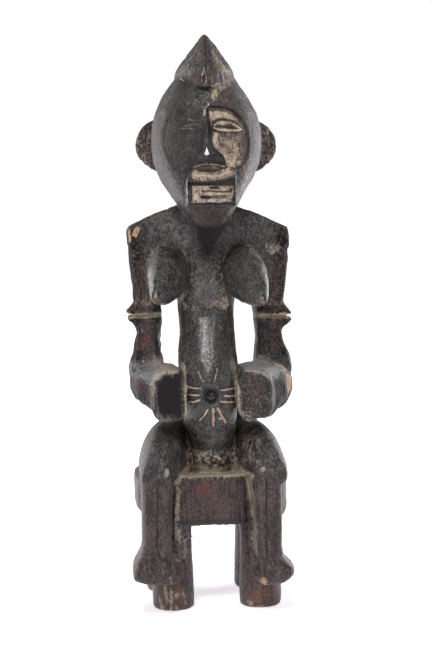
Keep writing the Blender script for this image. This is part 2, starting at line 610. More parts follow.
# The face. Its field is sunk with a crisp step on the right and a worn one on the left, and the line under
# the brow is cut deepest. The nose is black, with a worn shiny tip.
face_rim = [
    (-17.9, 305), (18.3, 305), (18.8, 331.4), (22.2, 333.4), (25.8, 336.6), (28.2, 340.2), (29.9, 346.6), (30.3, 353.1),
    (29.0, 360.5), (26.9, 365.7), (24.0, 370.1), (20.2, 373.9), (15.0, 376.7), (8.9, 377.9), (0.7, 378.4), (-8, 378.0),
    (-17, 376.0), (-24, 373.0), (-29, 370.5), (-31.6, 367.5), (-32.7, 361.4), (-32.9, 352), (-31.4, 345),
    (-29.6, 340.2), (-25.6, 334.3), (-21.4, 329.6), (-18.6, 324.6), (-17.9, 323),
]
nose_rim = [
    (-2.7, 377), (-3.4, 362.0), (-3.9, 353.3), (-5.5, 347.4), (-7.8, 343.1), (-9.6, 340.2), (-10.4, 335.8), (11.2, 334.8),
    (10.6, 339.9), (8.5, 342.6), (5.5, 344.0), (3.0, 346.8), (1.9, 351.7), (2.0, 360.5), (1.1, 364.2), (-0.2, 367.8), (-0.2, 377),
]
x, y, z = points.T
field = within(face_rim, -70, -14)
nose = area(nose_rim, 0.5, -75, -30)
off_muzzle = np.where(np.abs(x) < 19, step_up(z, 329, 338), 1)
crisp = step_up(field, -0.4, 0.4)
worn = step_up(field, -2.2, 2.2)
press(np.where(x > -1, crisp * 1.6 * (1 - nose), worn * 1.3 * step_up(-x, 3, 15)) * off_muzzle)
beside_nose = step_up(-x, 2.2, 4.2) * (1 - step_up(-x, 12, 17)) * step_up(z, 341, 346) * (1 - step_up(z, 372, 380)) * (y < -40)
points[:, 1] += (softened(points[:, 1], 140) - points[:, 1]) * beside_nose
brow_line = stroke([(1.7, 377.5), (8.0, 377.9), (13.9, 377.1), (19.0, 374.1), (23.4, 370.4)], 0.9)
rim_line = stroke([
    (23.4, 370.4), (27.0, 366.6), (28.9, 361.7), (30.0, 354.3), (29.8, 345.9), (28.3, 339.2), (24.2, 334.6), (19.6, 331.9),
], 0.5)
press(1.1 * brow_line + 0.4 * rim_line)
lay("soot", 0.54 * step_up(brow_line, 0.3, 1.0))
lay("soot", 0.44 * step_up(rim_line, 0.4, 1.0))
lay("red", 0.7 * np.maximum(step_up(rim_line, 0.2, 0.9), step_up(brow_line, 0.1, 0.6)))
tip_plane = -60.8 + 0.38 * (z - 343.5) - 0.14 * (x + 3)
tip_share = (np.abs(x + 3) < 5) * step_up(z, 340, 341.2) * (1 - step_up(z, 353, 356)) * (y < -50)
points[:, 1] += np.clip(tip_plane - y, 0, 2) * tip_share
nose_light = area([
    (-2.6, 351.2), (-1.9, 347.0), (-0.9, 344.4), (0.6, 341.2), (-1.6, 341.6), (-2.8, 340.2), (-4.1, 341.6),
    (-5.8, 341.4), (-4.6, 344.5), (-3.4, 347.7),
], 0.6, -75, -50)
lay("polish", nose_light)
lay("chalk", 0.5 * stroke([(-2.3, 353.4), (-2.1, 350.4), (-1.9, 347.4)], 0.55, -75, -50))
lay("soot", 0.9 * nose * step_up(x, -3.0, -1.6))
lay("soot", 0.2 * nose * step_up(z, 344, 352))
lay("soot", 0.34 * nose * step_up(x, -7, -2))
lay("soot", 0.9 * area([(2, 349), (6, 345), (9.5, 342.5), (11, 339.5), (11, 335.6), (1, 336), (-0.5, 341)], 0.8, -75, -30))
lay("red", 0.5 * patch((-3, -60, 338), (8, 6, 3)))
lay("dust", 0.4 * stroke([(-2.0, 364.8), (-2.1, 357.5), (-2.2, 351.5)], 0.5, -75, -30))
left_edge = stroke([
    (-27.1, 373.0), (-30.6, 367.2), (-32.2, 361.4), (-32.9, 351.1), (-30.0, 340.3), (-25.3, 334.1), (-21.2, 329.6), (-18.2, 323.4),
], 0.8)
lay("brown", 0.34 * left_edge * step_up(-z, -354, -346))
lay("warm", left_edge)
press(0.35 * left_edge)

# The eye on the viewer's right is crisp: two lids meet at its corners round a narrow slit. The other is
# worn away under the crust, and only strokes of it are left.
eye_rim = [
    (2.7, 362.9), (4.3, 365.4), (7.7, 367.0), (11.4, 367.5), (15.8, 366.9), (20.2, 364.8), (23.2, 362.9), (25.5, 361.2),
    (23.8, 359.6), (17.2, 359.0), (9.8, 359.3), (5.0, 360.6),
]
slit_rim = [
    (3.5, 362.9), (6.9, 363.9), (12.8, 364.0), (17.2, 363.3), (20.9, 362.2), (23.1, 361.4), (17.2, 361.3), (11.3, 361.7), (6.8, 362.0),
]
upper_lid = [(3.6, 363.8), (5.4, 365.3), (8.4, 366.0), (12.1, 366.3), (15.8, 365.6), (20.2, 363.7), (23.1, 362.1)]
lower_lid = [(3.5, 362.0), (6.1, 360.9), (11.2, 360.1), (17.2, 359.9), (22.4, 360.3), (24.6, 361.0)]
crease = [(1.9, 361.8), (3.2, 366.0), (7.5, 368.0), (11.6, 368.5), (16.2, 367.9), (20.9, 365.7), (24.2, 363.5), (26.6, 361.3)]
under_crease = [(2.6, 360.4), (6.1, 359.0), (11.2, 358.3), (17.1, 358.1), (23.1, 358.9), (26.4, 360.6)]
eye = area(eye_rim, 0.5, -70, -30)
slit = area(slit_rim, 0.45, -70, -30)
press(-1.1 * eye - 0.5 * stroke(upper_lid, 0.8) - 0.6 * stroke(lower_lid, 0.7) + 1.3 * slit)
press(0.6 * stroke(crease, 0.5) + 0.5 * stroke(under_crease, 0.5))
for stroke_line in (
    [(-15.5, 369.4), (-13.7, 368.3), (-11.3, 367.7)], [(-17.8, 363.6), (-14.5, 364.1), (-11.5, 365.1), (-7.8, 364.2), (-6.0, 362.7)],
    [(-20.9, 362.0), (-14.6, 361.9), (-9.9, 361.0)],
):
    share = stroke(stroke_line, 0.9)
    press(-0.5 * share)
    lay("dust", 0.6 * share)
press(0.5 * stroke([(-19, 360.0), (-12, 359.5), (-5, 359.2)], 0.9))

# Kaolin on the right half of the face: thickest under the brow, by the nose and at the mouth, rubbed thin
# and grey toward the outer edge, and dirty everywhere.
kaolin_rim = [
    (-0.2, 376), (5.7, 376.4), (11.6, 376), (16.8, 374.1), (21.2, 370.8), (24.8, 367), (27.2, 362.5), (28.8, 356), (28.9, 346),
    (27.2, 340), (23.4, 335), (19, 332), (11.3, 334), (11.3, 336.2), (10.6, 339.9), (8.5, 342.6), (5.5, 344.0), (3.0, 346.8),
    (1.9, 351.7), (2.0, 360.5), (1.1, 364.2), (-0.2, 367.8),
]
kaolin_field = area(kaolin_rim, 0.5)
lay("pale", 0.36 * kaolin_field)
lay("pale", 0.76 * area([(0.2, 374.8), (5.6, 375.0), (13.0, 374.2), (17.6, 371.6), (22.4, 367.6), (17.3, 367.4), (12.9, 369.2), (6.2, 369.0), (1.2, 366.2)], 1.1))
lay("pale", 0.74 * area([(2.4, 359.5), (6.3, 358.6), (7.0, 351.8), (8.8, 345.9), (12.8, 341.5), (14.6, 336.3), (11.7, 335.6), (9.8, 341.5), (6.2, 344.3), (3.6, 347.7), (2.2, 351.9)], 1.0))
lay("pale", 0.62 * area([(6.8, 357.4), (12.7, 354.9), (18.9, 353.6), (22.5, 347.3), (22.4, 341.4), (19.6, 335.3), (13.8, 333.4), (11.4, 340.0), (6.8, 346.0)], 2.6))
lay("pale", 0.5 * area([(10, 355), (26, 356), (28, 348), (26, 340), (12, 338)], 2.2))
lay("pale", 0.6 * stroke([(17.2, 354.4), (22.5, 355.6), (27.0, 357.2)], 1.1))
lay("pale", 0.66 * area([(13.9, 338.0), (19.9, 338.6), (24.0, 337.6), (22.7, 334.9), (18.4, 332.2), (13.5, 333.0)], 1.2))
finish["pale"] *= 1 - 0.36 * area([(23.5, 358.8), (27.9, 360.5), (29.6, 353.1), (29.4, 345.8), (27.0, 339.6), (24.6, 340.4), (24.0, 347.3)], 2.2)
lay("dust", 0.42 * area([(21.5, 358.8), (27.9, 360.5), (29.2, 353.1), (29.1, 345.8), (26.7, 339.6), (23.0, 339.9), (21.7, 347.3)], 1.5))
lay("pale", 0.52 * eye)
lay("pale", 0.84 * stroke(upper_lid, 0.6))
lay("pale", 0.98 * stroke(lower_lid, 0.75))
lay("pale", 0.7 * stroke([(20.4, 368.4), (23.9, 364.6), (26.2, 360.6), (26.6, 357.6)], 0.75))
lay("soot", 0.7 * slit)
lay("soot", 0.74 * step_up(stroke(crease, 0.75), 0.35, 1.0))
lay("soot", 0.66 * step_up(stroke(under_crease, 0.62), 0.3, 1.0))
lay("soot", 0.4 * area([(6.4, 358.6), (10.7, 358.4), (16.6, 357.6), (22.1, 357.6), (21.0, 354.6), (14.1, 353.6), (8.5, 355.4)], 1.6))

# The mouth: lens-shaped lips, a light upper plate under them, a gap, and a panel of teeth with slots in it
# between two thin walls.
upper_lip = [(-11.5, 333.3), (-7.6, 334.7), (-2.0, 335.4), (4.1, 334.8), (10.0, 333.4)]
lower_lip = [(-11.7, 330.6), (-7.0, 329.2), (-1.4, 328.5), (4.0, 328.9), (9.5, 330.6)]
lip_middle = [(-10.8, 332.3), (-6.2, 333.7), (-0.3, 334.2), (4.9, 333.6), (9.8, 332.2), (4.8, 330.8), (-1.1, 330.0), (-6.9, 330.7)]
press(-0.8 * stroke(upper_lip, 0.7) - 0.9 * stroke(lower_lip, 0.8))
press(1.0 * area(lip_middle, 0.5))
lay("pale", 0.66 * stroke(upper_lip, 0.65))
lay("pale", 0.6 * stroke(lower_lip, 0.9))
lay("soot", 0.55 * area(lip_middle, 0.6))
lay("ochre", 0.42 * area([(1.2, 334.0), (6.3, 333.7), (7.4, 332.0), (1.9, 331.1)], 0.8))
lay("brown", 0.75 * area(lip_middle, 0.5))
finish["soot"] *= 1 - 0.7 * area([(0.6, 334.2), (6.3, 333.9), (8.0, 332.0), (1.4, 330.8)], 0.8)
lay("pale", 0.52 * area([(-13.8, 330.5), (-9.9, 329.4), (-3.3, 328.9), (2.6, 328.8), (8.5, 330.0), (13.7, 333.2), (18.4, 331.0), (18.3, 327.1), (12.8, 325.0), (5.4, 323.8), (-3.4, 323.0), (-10.0, 323.2), (-14.2, 325.0)], 0.7))
lay("pale", 0.74 * area([(-12.4, 329.0), (-3.3, 328.1), (7.0, 327.8), (15.4, 331.0), (15.6, 328.4), (6.9, 325.6), (-3.4, 325.0), (-12.4, 326.0)], 0.9))
lay("soot", 0.4 * stroke([(4, 324.2), (9, 324.6), (16.6, 326.2)], 1.0))
lay("brown", 0.5 * stroke([(-14.6, 330), (-14.9, 324)], 1.0, -75, -40))
gap = area([(-16.6, 322.5), (-7.9, 321.8), (-1.3, 321.7), (8.3, 323.1), (17.3, 324.8), (17.4, 319.5), (8.2, 319.7), (-1.4, 320.0), (-16.6, 320.4)], 0.35)
left_band = area([(-16.5, 306.2), (-14.6, 307.4), (-14.5, 320), (-16.4, 322)], 0.35)
right_band = area([(17.1, 305.8), (17.9, 305.8), (17.9, 324), (17.3, 324)], 0.3)
bottom_band = area([(-16.4, 305.5), (17.4, 305.4), (17.4, 306.6), (-16.4, 307.0)], 0.35)
for hollow, deep, black in ((gap, 2.2, 0.6), (left_band, 1.6, 0.5), (right_band, 1.4, 0.6), (bottom_band, 1.0, 0.6)):
    press(deep * hollow)
    lay("soot", black * hollow)
    lay("red", 0.6 * hollow)
lay("chalk", 0.42 * stroke([(-0.2, 320.9), (6.0, 321.9), (12.4, 322.9)], 0.5, -75, -40))
lay("brown", 0.5 * left_band)
lay("dust", 0.5 * patch((-15.4, -55, 313.5), (0.8, 5, 2.4)))
lay("pale", 0.62 * area([(-13.9, 307.9), (-13.9, 319.6), (16.9, 319.2), (16.7, 307.4)], 0.35))
lay("pale", 0.86 * area([(-13.4, 308.4), (-13.2, 314.4), (-9.6, 315.6), (-9.4, 309.0)], 0.8))
lay("pale", 0.8 * stroke([(-5.6, 317.2), (-2.6, 316.4)], 1.0))
lay("pale", 0.82 * stroke([(-4, 313.6), (5, 313.4), (14, 313.2)], 0.7))
lay("pale", 0.82 * patch((9.6, -55, 316.4), (2.6, 6, 1.4), 0.5))
slots = [
    ([(-1.6, 318.9), (2.3, 319.0), (6.5, 318.7), (6.1, 317.0), (-0.9, 317.1)], 1.0, 0.9),
    ([(-7.2, 316.2), (-0.7, 316.2), (5.9, 315.6), (13.0, 315.4), (13.0, 314.4), (5.2, 314.5), (-2.2, 314.9), (-7.0, 314.9)], 1.0, 0.75),
    ([(13.4, 317.0), (15.8, 316.4), (15.6, 314.3), (13.4, 314.9)], 1.0, 0.7),
    ([(-8.1, 312.2), (-3.7, 312.7), (0.6, 312.0), (0.8, 310.4), (-2.3, 309.3), (-7.4, 310.1)], 1.4, 0.85),
    ([(0.4, 312.3), (6, 312.5), (11.7, 312.5), (11.7, 310.0), (6, 309.7), (0.6, 310.0)], 1.2, 0.66),
    ([(14.9, 310.2), (16.8, 311.7), (17.0, 307.6), (15.0, 307.4)], 1.2, 0.8),
]
for rim, deep, black in slots:
    slot = area(rim, 0.45)
    press(deep * slot)
    lay("soot", 0.95 * black * slot)
    lay("brown", 0.8 * slot)
lay("ochre", 0.5 * area([(-12, 311), (-9, 312.6), (-8, 309), (-3, 308.4), (-11, 308.2)], 0.8))
lay("chalk", 0.66 * stroke([(-17.5, 324.0), (-17.4, 314.5), (-17.4, 305.6)], 0.5, -75, -50))
lay("soot", 0.42 * patch((-9.5, -58, 318.3), (4.5, 6, 1.3)))
lay("soot", 0.36 * patch((12.6, -58, 312.2), (2.6, 6, 1.2)))
for edge in ([(-17, 305.0), (0, 304.8), (17.6, 304.7)], [(18.5, 330), (18.4, 305)], [(-16, 322.9), (-4, 322.1)]):
    lay("brown", 0.6 * stroke(edge, 0.5, -75, -50))
    lay("red", 0.5 * stroke(edge, 0.7, -75, -50))
lay("chalk", 0.55 * stroke([(-14.4, 307.5), (-10.4, 307.3), (-4.6, 307.4), (-1.6, 308.1), (1.4, 307.5), (8, 307.1)], 0.5, -75, -50))

# The brow above the nose carries crust and ochre, and dust lies under the crest's rim on the right.
crust_lumps = patch((-1.8, -50, 377), (4.2, 8, 4)) + 0.8 * patch((-6, -47, 382), (6, 8, 4)) + 0.5 * patch((-14, -46, 364), (10, 8, 8))
press(-0.9 * crust_lumps * step_up(rough(points, (2.2, 2.2, 2.2), 21), -0.2, 0.6))
for line, width, amount in (
    ([(0.2, 379.6), (-1.5, 376.9), (-3.0, 374.2), (-3.4, 371.6)], 1.1, 0.75), ([(-6.2, 379.2), (-3.6, 377.4), (-1.8, 376.0)], 0.7, 0.62),
    ([(-5.6, 386.2), (-6.7, 383.9), (-9.2, 382.9)], 0.9, 0.55), ([(-8.9, 382.9), (-6, 381.4), (-3.8, 383.5)], 0.8, 0.5),
    ([(-14.2, 379.4), (-14.9, 380.8)], 0.45, 0.5), ([(-10.6, 377.4), (-8.4, 379)], 0.5, 0.4),
):
    lay("chalk", 0.85 * amount * stroke(line, width, -60, -20))
lay("veil", 0.6 * patch((-6, -49, 382), (9, 9, 9), 0.8))
lay("dust", 0.5 * step_up(rough(points, (1.6, 3, 1.6), 66), -0.1, 0.5) * patch((-5, -49, 380.5), (7, 8, 7), 0.7))
lay("red", 0.45 * patch((-8, -50, 374.5), (9, 8, 2.6), 0.6))
face_left = step_up(-x, 2, 6) * step_up(z, 322, 332) * (1 - step_up(z, 398, 404)) * (1 - step_up(-x, 30, 35)) * (y < -30)
scuffs = rough(points, (2.6, 4, 6), 61)
lay("soot", 0.44 * face_left)
lay("dull", 0.25 * face_left)
lay("soot", 0.46 * face_left * step_up(scuffs, 0.0, 0.7))
lay("veil", 0.42 * face_left * step_up(-scuffs, 0.0, 0.8))
lay("dust", 0.5 * face_left * step_up(rough(points, (1.2, 3, 7), 63), 0.45, 0.9))
lay("brown", 0.36 * face_left * step_up(rough(points, (5, 5, 12), 64), 0.1, 0.8))
lay("ochre", 0.66 * area([(2.2, 393.6), (6.8, 394.6), (7.6, 390.4), (7.0, 387.5), (6.8, 383.6), (4.0, 382.2), (2.0, 384.7)], 1.3))
lay("crust", 0.62 * area([(1.8, 394.2), (8.6, 396.9), (13.9, 400.3), (22, 403.6), (22.4, 398.4), (16.7, 392.2), (10.8, 389.0), (6.6, 381.8), (2.0, 381.4)], 2.0, -60, -20))
lay("brown", 0.42 * area([(4.6, 390.7), (10.6, 393.1), (18.0, 392.9), (17.4, 384.8), (9.4, 381.4), (3.8, 382.9)], 3.0, -60, -20))
lay("veil", 0.25 * area([(-2, 392), (-14, 394), (-16, 386), (-6, 381), (2, 384)], 3.0, -60, -20))

# The crest's rim throws a dark line. Its bow is split: a drying crack opened into a small teardrop, with worn
# pale edges, and the wood round it is reddish.
rim_shadow = [(-23.1, 402.5), (-20.7, 399.9), (-17.2, 396.9), (-13.0, 394.2), (-8.3, 391.9), (-4.2, 390.9), (-0.9, 391.9), (2.5, 394.4), (6.2, 395.9), (10.0, 396.8)]
lay("soot", 0.6 * step_up(stroke(rim_shadow, 0.8, -60, -16), 0.3, 1.0))
press(0.5 * stroke(rim_shadow, 0.6, -60, -16))
lay("chalk", 0.75 * stroke([(-23.3, 404.4), (-20.4, 401.2), (-17.2, 398.4)], 0.5, -60, -8))
lay("red", 0.5 * stroke([(-10, 391.8), (-6.4, 391.4), (-1.2, 393.5), (3.3, 395.9), (8.2, 397.0)], 1.0, -60, -20))
teardrop = within([(-2.3, 403.6), (-3.2, 400.9), (-3.8, 398.1), (-3.4, 395.0), (-1.8, 394.6), (-1.3, 398.0), (-1.6, 400.9)], -70, -20)
press(1.6 * step_up(teardrop, -0.2, 0.7))
lay("red", 0.8 * step_up(teardrop, -0.1, 0.5))
lay("soot", 0.6 * stroke([(-2.3, 402.2), (-2.3, 400), (-2.5, 398)], 0.6, -70, -20))
lay("dust", 0.6 * patch((-2.3, -48, 395.8), (1.5, 5, 1.3)))
for line, amount in (
    ([(-2.7, 409.4), (-2.6, 405.4)], 0.5), ([(-2.6, 405.4), (-2.9, 403.4), (-3.9, 401.4)], 0.8),
    ([(-3.9, 401.4), (-4.5, 398.6), (-4.5, 395.8)], 0.5), ([(-2.0, 402.4), (-1.3, 399.6), (-1.0, 396.4)], 0.6),
):
    lay("chalk", amount * stroke(line, 0.45, -70, -20))
crack_up = stroke([(-1.4, 405), (-0.7, 410), (-0.4, 416), (-0.4, 422), (-0.3, 430)], 0.6, -70, 5)
press(1.0 * crack_up)
lay("soot", 0.95 * step_up(crack_up, 0.3, 0.85))
lay("red", 0.6 * area([(-12.1, 399.4), (-5.6, 402.8), (-4.2, 399.5), (-4.6, 394.0), (-6.8, 391.2), (-10.6, 393.2)], 1.6, -60, -20))
lay("brown", 0.5 * area([(-12.1, 398.4), (-5.6, 401.8), (-4.2, 398.9), (-4.6, 394.0), (-6.8, 391.2), (-10.6, 393.2)], 1.6, -60, -20))
lay("crust", 0.6 * area([(2.8, 421.1), (6.6, 421.6), (11.2, 414.6), (16.1, 407.2), (19.4, 402.8), (11.4, 403.1), (6.6, 410.3)], 2.6, -60, 10))
lay("brown", 0.62 * area([(1.8, 421.1), (4.6, 423.6), (9.2, 416.6), (13.1, 409.2), (17.4, 401.8), (7.4, 401.1), (4.6, 409.3)], 2.6, -60, 0))
lay("veil", 0.6 * area([(-2, 430), (-20, 405), (-14, 401), (-4, 410)], 3.0, -60, 0))
lay("chalk", 0.3 * area([(-4, 427), (-22, 406), (-17, 404), (-6, 418)], 2.0, -60, 10))
lay("veil", 0.7 * area([(2, 430), (20, 405), (14, 401), (4, 410)], 3.0, -60, 0))
specks = step_up(rough(points, (1.1, 1.1, 1.8), 81), 0.3, 0.75)
for speckled in (
    patch((0, -50, 297), (16, 16, 9)), patch((-17, -25, 205), (8, 20, 28)), patch((-49, -15, 205), (12, 16, 20)),
    patch((0, -50, 134), (18, 14, 14)), patch((31, -50, 165), (14, 10, 18)), patch((-31, -50, 125), (14, 16, 16)),
    patch((-34, -42, 12), (17, 12, 16)), patch((30, -42, 14), (16, 12, 18)), patch((-50, -60, 36), (16, 12, 14)),
    patch((46, -60, 36), (14, 12, 14)), patch((0, -30, 284), (16, 24, 14)), 0.6 * patch((-32, -50, 165), (12, 8, 16)),
    patch((-2, -44, 84), (28, 8, 17)),
):
    lay("dust", 0.75 * specks * speckled)
on_crest = step_up(z, 396, 404) * (y < 6)
lay("brown", 0.5 * on_crest * step_up(rough(points, (2.2, 6, 7), 83), -0.3, 0.5))
lay("dust", 0.5 * on_crest * step_up(rough(points, (1.7, 4, 9), 85), 0.1, 0.7))
head_side = step_up(np.abs(x), 28, 34) * step_up(z, 300, 312) * (1 - step_up(z, 388, 396))
lay("dull", head_side * np.where(x < 0, 0.3, 0.3))
lay("brown", 0.34 * head_side * (y < 0))
lay("dust", 0.62 * head_side * (y < 6) * step_up(rough(points, (1.5, 3, 16), 67), 0.0, 0.6))
lay("soot", 0.5 * head_side * (y < 6) * step_up(rough(points, (1.5, 3, 16), 69), 0.1, 0.7))
lay("chalk", 0.45 * stroke([(16.0, 303.1), (13.8, 298.7), (11.2, 294.3), (8.6, 292.6)], 0.8, -62, -16))
lay("soot", 0.46 * patch((0, -50, 297), (22, 22, 12), 0.5))
lay("dull", 0.3 * patch((0, -50, 297), (22, 22, 12), 0.5))
lay("brown", 0.45 * area([(22, 334), (32, 345), (34, 330), (24, 312), (20, 320)], 2.5, -60, -10))

# The navel is a knob in a ring, with rays cut through the black skin round it down to pale wood. Two longer
# cuts run down to it like an arrow, from a flat facet down the middle of the torso.
x, y, z = points.T
facet_y = np.interp(z, [176, 182, 190, 205, 215, 223], [-49.4, -46.0, -40.6, -32.6, -27.8, -24.3])
facet_share = step_up(z, 180, 184) * (1 - step_up(z, 221, 223.5)) * (np.abs(x + 3.5) < 9)
facet_y = facet_y - 0.10 * (x + 3.5)
points[:, 1] += np.clip(facet_y - y, 0, 1.8) * facet_share * (y < -18)
torso_facet = area([(-8.6, 222.3), (2.6, 223.6), (1.9, 204.5), (0.6, 188.0), (-4.0, 179.1), (-9.4, 188.2), (-8.9, 204.8)], 0.9)
lay("dust", 0.4 * area([(-8.6, 186), (1.0, 186), (-0.6, 177.4), (-6.6, 176.4)], 2.2))
lay("dust", 0.36 * torso_facet)
lay("veil", 0.8 * torso_facet)
lay("polish", 0.8 * torso_facet)
navel = from_line([(-2.7, 164.4), (-2.7, 164.5)], -75, -30)
press(1.4 * np.exp(-(((navel - 4.9) / 1.1) ** 2)))
press(-3.0 * np.sqrt(np.clip(1 - (navel / 3.9) ** 2, 0, 1)))
lay("soot", np.exp(-(((navel - 4.4) / 1.3) ** 2)))
lay("soot", 0.8 * (navel < 4.2))
lay("polish", 1.0 * (navel < 4.2))
lay("chalk", 0.8 * patch((-3.4, -50, 166.9), (1.1, 8, 0.7), 0.4))
lay("veil", 0.8 * np.exp(-(((navel - 8.0) / 2.6) ** 2)))
rays = [
    ([(-19.8, 170.9), (-16.4, 170.1), (-10.1, 169.8)], 0.7, "pale"), ([(-22.1, 164.7), (-17.3, 164.8), (-11.7, 165.0)], 0.7, "pale"),
    ([(-20.8, 158.8), (-15.9, 159.5), (-11.0, 161.4)], 0.7, "pale"), ([(4.8, 168.2), (10.4, 168.5), (16.0, 168.6)], 0.6, "pale"),
    ([(7.7, 164.0), (11.8, 163.3), (15.9, 163.1)], 0.75, "pale"), ([(4.6, 159.8), (10.2, 158.9), (16.5, 158.3)], 0.65, "pale"),
    ([(-11.2, 181.9), (-9.5, 177.7), (-7.9, 175.0)], 0.7, "crust"), ([(3.0, 183.4), (1.8, 179.3), (0.2, 174.8)], 0.7, "crust"),
    ([(-5.2, 154.2), (-7.9, 149.5), (-11.3, 145.8)], 0.65, "pale"), ([(-1.2, 154.5), (-1.2, 148.9), (-1.3, 142.1)], 1.2, "bare"),
    ([(2.3, 154.8), (4.8, 149.8), (8.1, 144.1)], 1.05, "bare"),
]
for line, width, colour in rays:
    share = stroke(line, width)
    press(0.8 * share)
    lay(colour, 0.95 * step_up(share, 0.2, 0.8))
    lay("soot", 0.6 * np.exp(-(((from_line(line) - 1.9) / 0.6) ** 2)))
lay("chalk", 0.7 * patch((4.2, -50, 146.9), (1.3, 6, 1.3)))
lay("dust", 0.6 * stroke([(-5.2, 127), (-2.2, 128.4), (-1, 130.6), (-2.5, 132)], 0.6))
lay("veil", 0.6 * area([(-20, 184), (15, 184), (17, 140), (12, 128), (-14, 128), (-20, 142)], 4, -75, -20))

# The chest's skin ends in a ragged lower edge between the breasts, a little proud of the torso.
chest_rim = [
    (-15.5, 276), (-15, 262), (-14.6, 250), (-17.5, 243), (-22.5, 236), (-19.5, 228.6), (-11.2, 227.3), (-3.6, 227.5),
    (1.8, 230.3), (5.7, 232.3), (11.7, 227.7), (17.1, 229.9), (16, 236), (11.5, 243.5), (9.3, 253), (10.8, 263), (14, 276),
]
chest = within(chest_rim, -32, -8) + 0.9 * rough(points, (4, 4, 4), 31)
press(-1.6 * step_up(chest, -0.5, 0.9) * (1 - step_up(z, 262, 276)))
broken = step_up(rough(points, (5, 5, 4), 77), -0.5, 0.2)
lay("crust", 0.7 * broken * np.exp(-(((chest - 0.3) / 2.0) ** 2)) * (1 - step_up(z, 238, 250)))
lay("crust", 0.62 * broken * area([(2, 234), (8, 232.6), (12, 228), (6, 226.6), (-1, 231)], 1.6, -40, -8))
lay("crust", 0.6 * area([(-19.4, 244), (-16.4, 240), (-18.6, 233), (-22.6, 230), (-21.8, 236)], 1.6, -40, -8))
lay("crust", 0.5 * area([(9, 246), (14, 240), (19, 231), (17, 228), (9, 230), (7, 238)], 2))
lay("veil", area([(-9.7, 263.0), (4.1, 265.8), (8.5, 256.6), (6.5, 233.8), (-3.5, 229.4), (-13.3, 234.2), (-13.0, 249.4)], 3, -32, -8))
lay("veil", area([(-32.3, 299.8), (-17.2, 298.0), (-11.3, 288.8), (-9.3, 272.1), (-17.0, 270.7), (-25.2, 280.0), (-36.5, 283.2), (-41, 289.4)], 5, -32, 5))
lay("veil", 0.7 * area([(18, 298), (34, 294), (40, 284), (26, 279), (16, 270), (12, 282)], 5, -32, 5))
throat = area([(-11.3, 295), (15.4, 295), (10.6, 282.3), (4.3, 271.8), (-0.4, 264), (-4.9, 269), (-8.5, 279.7)], 4, -32, 0)
lay("soot", 0.78 * throat)
lay("dull", 0.4 * throat)
lay("dust", 0.3 * area([(-12, 262), (5, 265), (8.5, 250), (7, 232), (-3.5, 228), (-14, 233), (-14, 249)], 3, -32, -8))
lay("dust", 0.36 * area([(-30, 297), (-17, 296), (-11, 286), (-10, 273), (-18, 272), (-26, 280), (-38, 285)], 4, -32, 5))
for outer_side in ([(-46.6, 264), (-45.6, 252), (-43.6, 240)], [(42.4, 262), (42.6, 250), (40.8, 240)]):
    lay("dust", 0.42 * stroke(outer_side, 2.6, -58, -12))
lay("polish", 0.55 * patch((-46, -32, 250), (7, 24, 20), 0.6))
lay("polish", 0.55 * patch((43.5, -32, 248), (6, 24, 20), 0.6))
lay("soot", 0.5 * area([(-35.2, 274.4), (-28.4, 275.7), (-21.8, 271.8), (-18.2, 265.0), (-19.8, 259.1), (-25.7, 260.7), (-31.6, 266.8)], 2.5, -60, -18))
lay("soot", 0.45 * area([(14.2, 269.6), (19.6, 274.7), (24.8, 274.6), (27.0, 267.1), (26.8, 256.6), (25.0, 241.6), (18.9, 240.3), (14.6, 249.4)], 3, -60, -18))
lay("veil", area([(-47.2, 264), (-45.5, 271.5), (-39.4, 275.9), (-34.9, 275.8), (-37.3, 268.3), (-42, 260.9), (-46.6, 256)], 2.5, -50, -12))
lay("dust", 0.5 * area([(-47.2, 264), (-45.5, 271.5), (-39.4, 275.9), (-34.9, 275.8), (-37.3, 268.3), (-42, 260.9)], 2.5, -50, -12))
lay("veil", area([(29.2, 274.5), (35.2, 272.9), (40.4, 268.2), (44.1, 260.6), (44.0, 250), (39.5, 254.7), (35.0, 260.8), (30.6, 266.9)], 2.5, -50, -12))
lay("dust", 0.5 * area([(29.2, 274.5), (35.2, 272.9), (40.4, 268.2), (44.1, 260.6), (41, 258), (36.0, 262.8), (30.6, 268.9)], 2.5, -50, -12))
for rim_of_breast in (
    [(-46, 262), (-43, 272), (-37.3, 276.4), (-29.9, 276.4), (-23, 274.5)],
    [(-18.6, 270), (-14.6, 261), (-13.6, 252), (-16, 243), (-22, 237)],
    [(42, 262), (36.8, 267.5), (31.2, 273.4), (24, 276)], [(9.4, 262.9), (8.2, 253.2), (10.8, 243.4), (17.2, 235)],
):
    lay("crust", 0.42 * stroke(rim_of_breast, 1.6, -40, -10))
lay("polish", patch((-42, -52.5, 237), (4, 4, 5)))
lay("polish", patch((36.5, -52.5, 234), (4, 4, 5)))
lay("brown", 0.8 * patch((-42.5, -52.5, 236.5), (4, 4, 4)))
lay("brown", 0.7 * patch((36.5, -52.5, 234), (3.6, 4, 4)))
lay("chalk", 0.8 * patch((-41.8, -53, 238.6), (1.5, 4, 1.8), 0.3))
lay("chalk", 0.7 * patch((36.0, -53, 236.4), (1.8, 4, 1.2), 0.3))

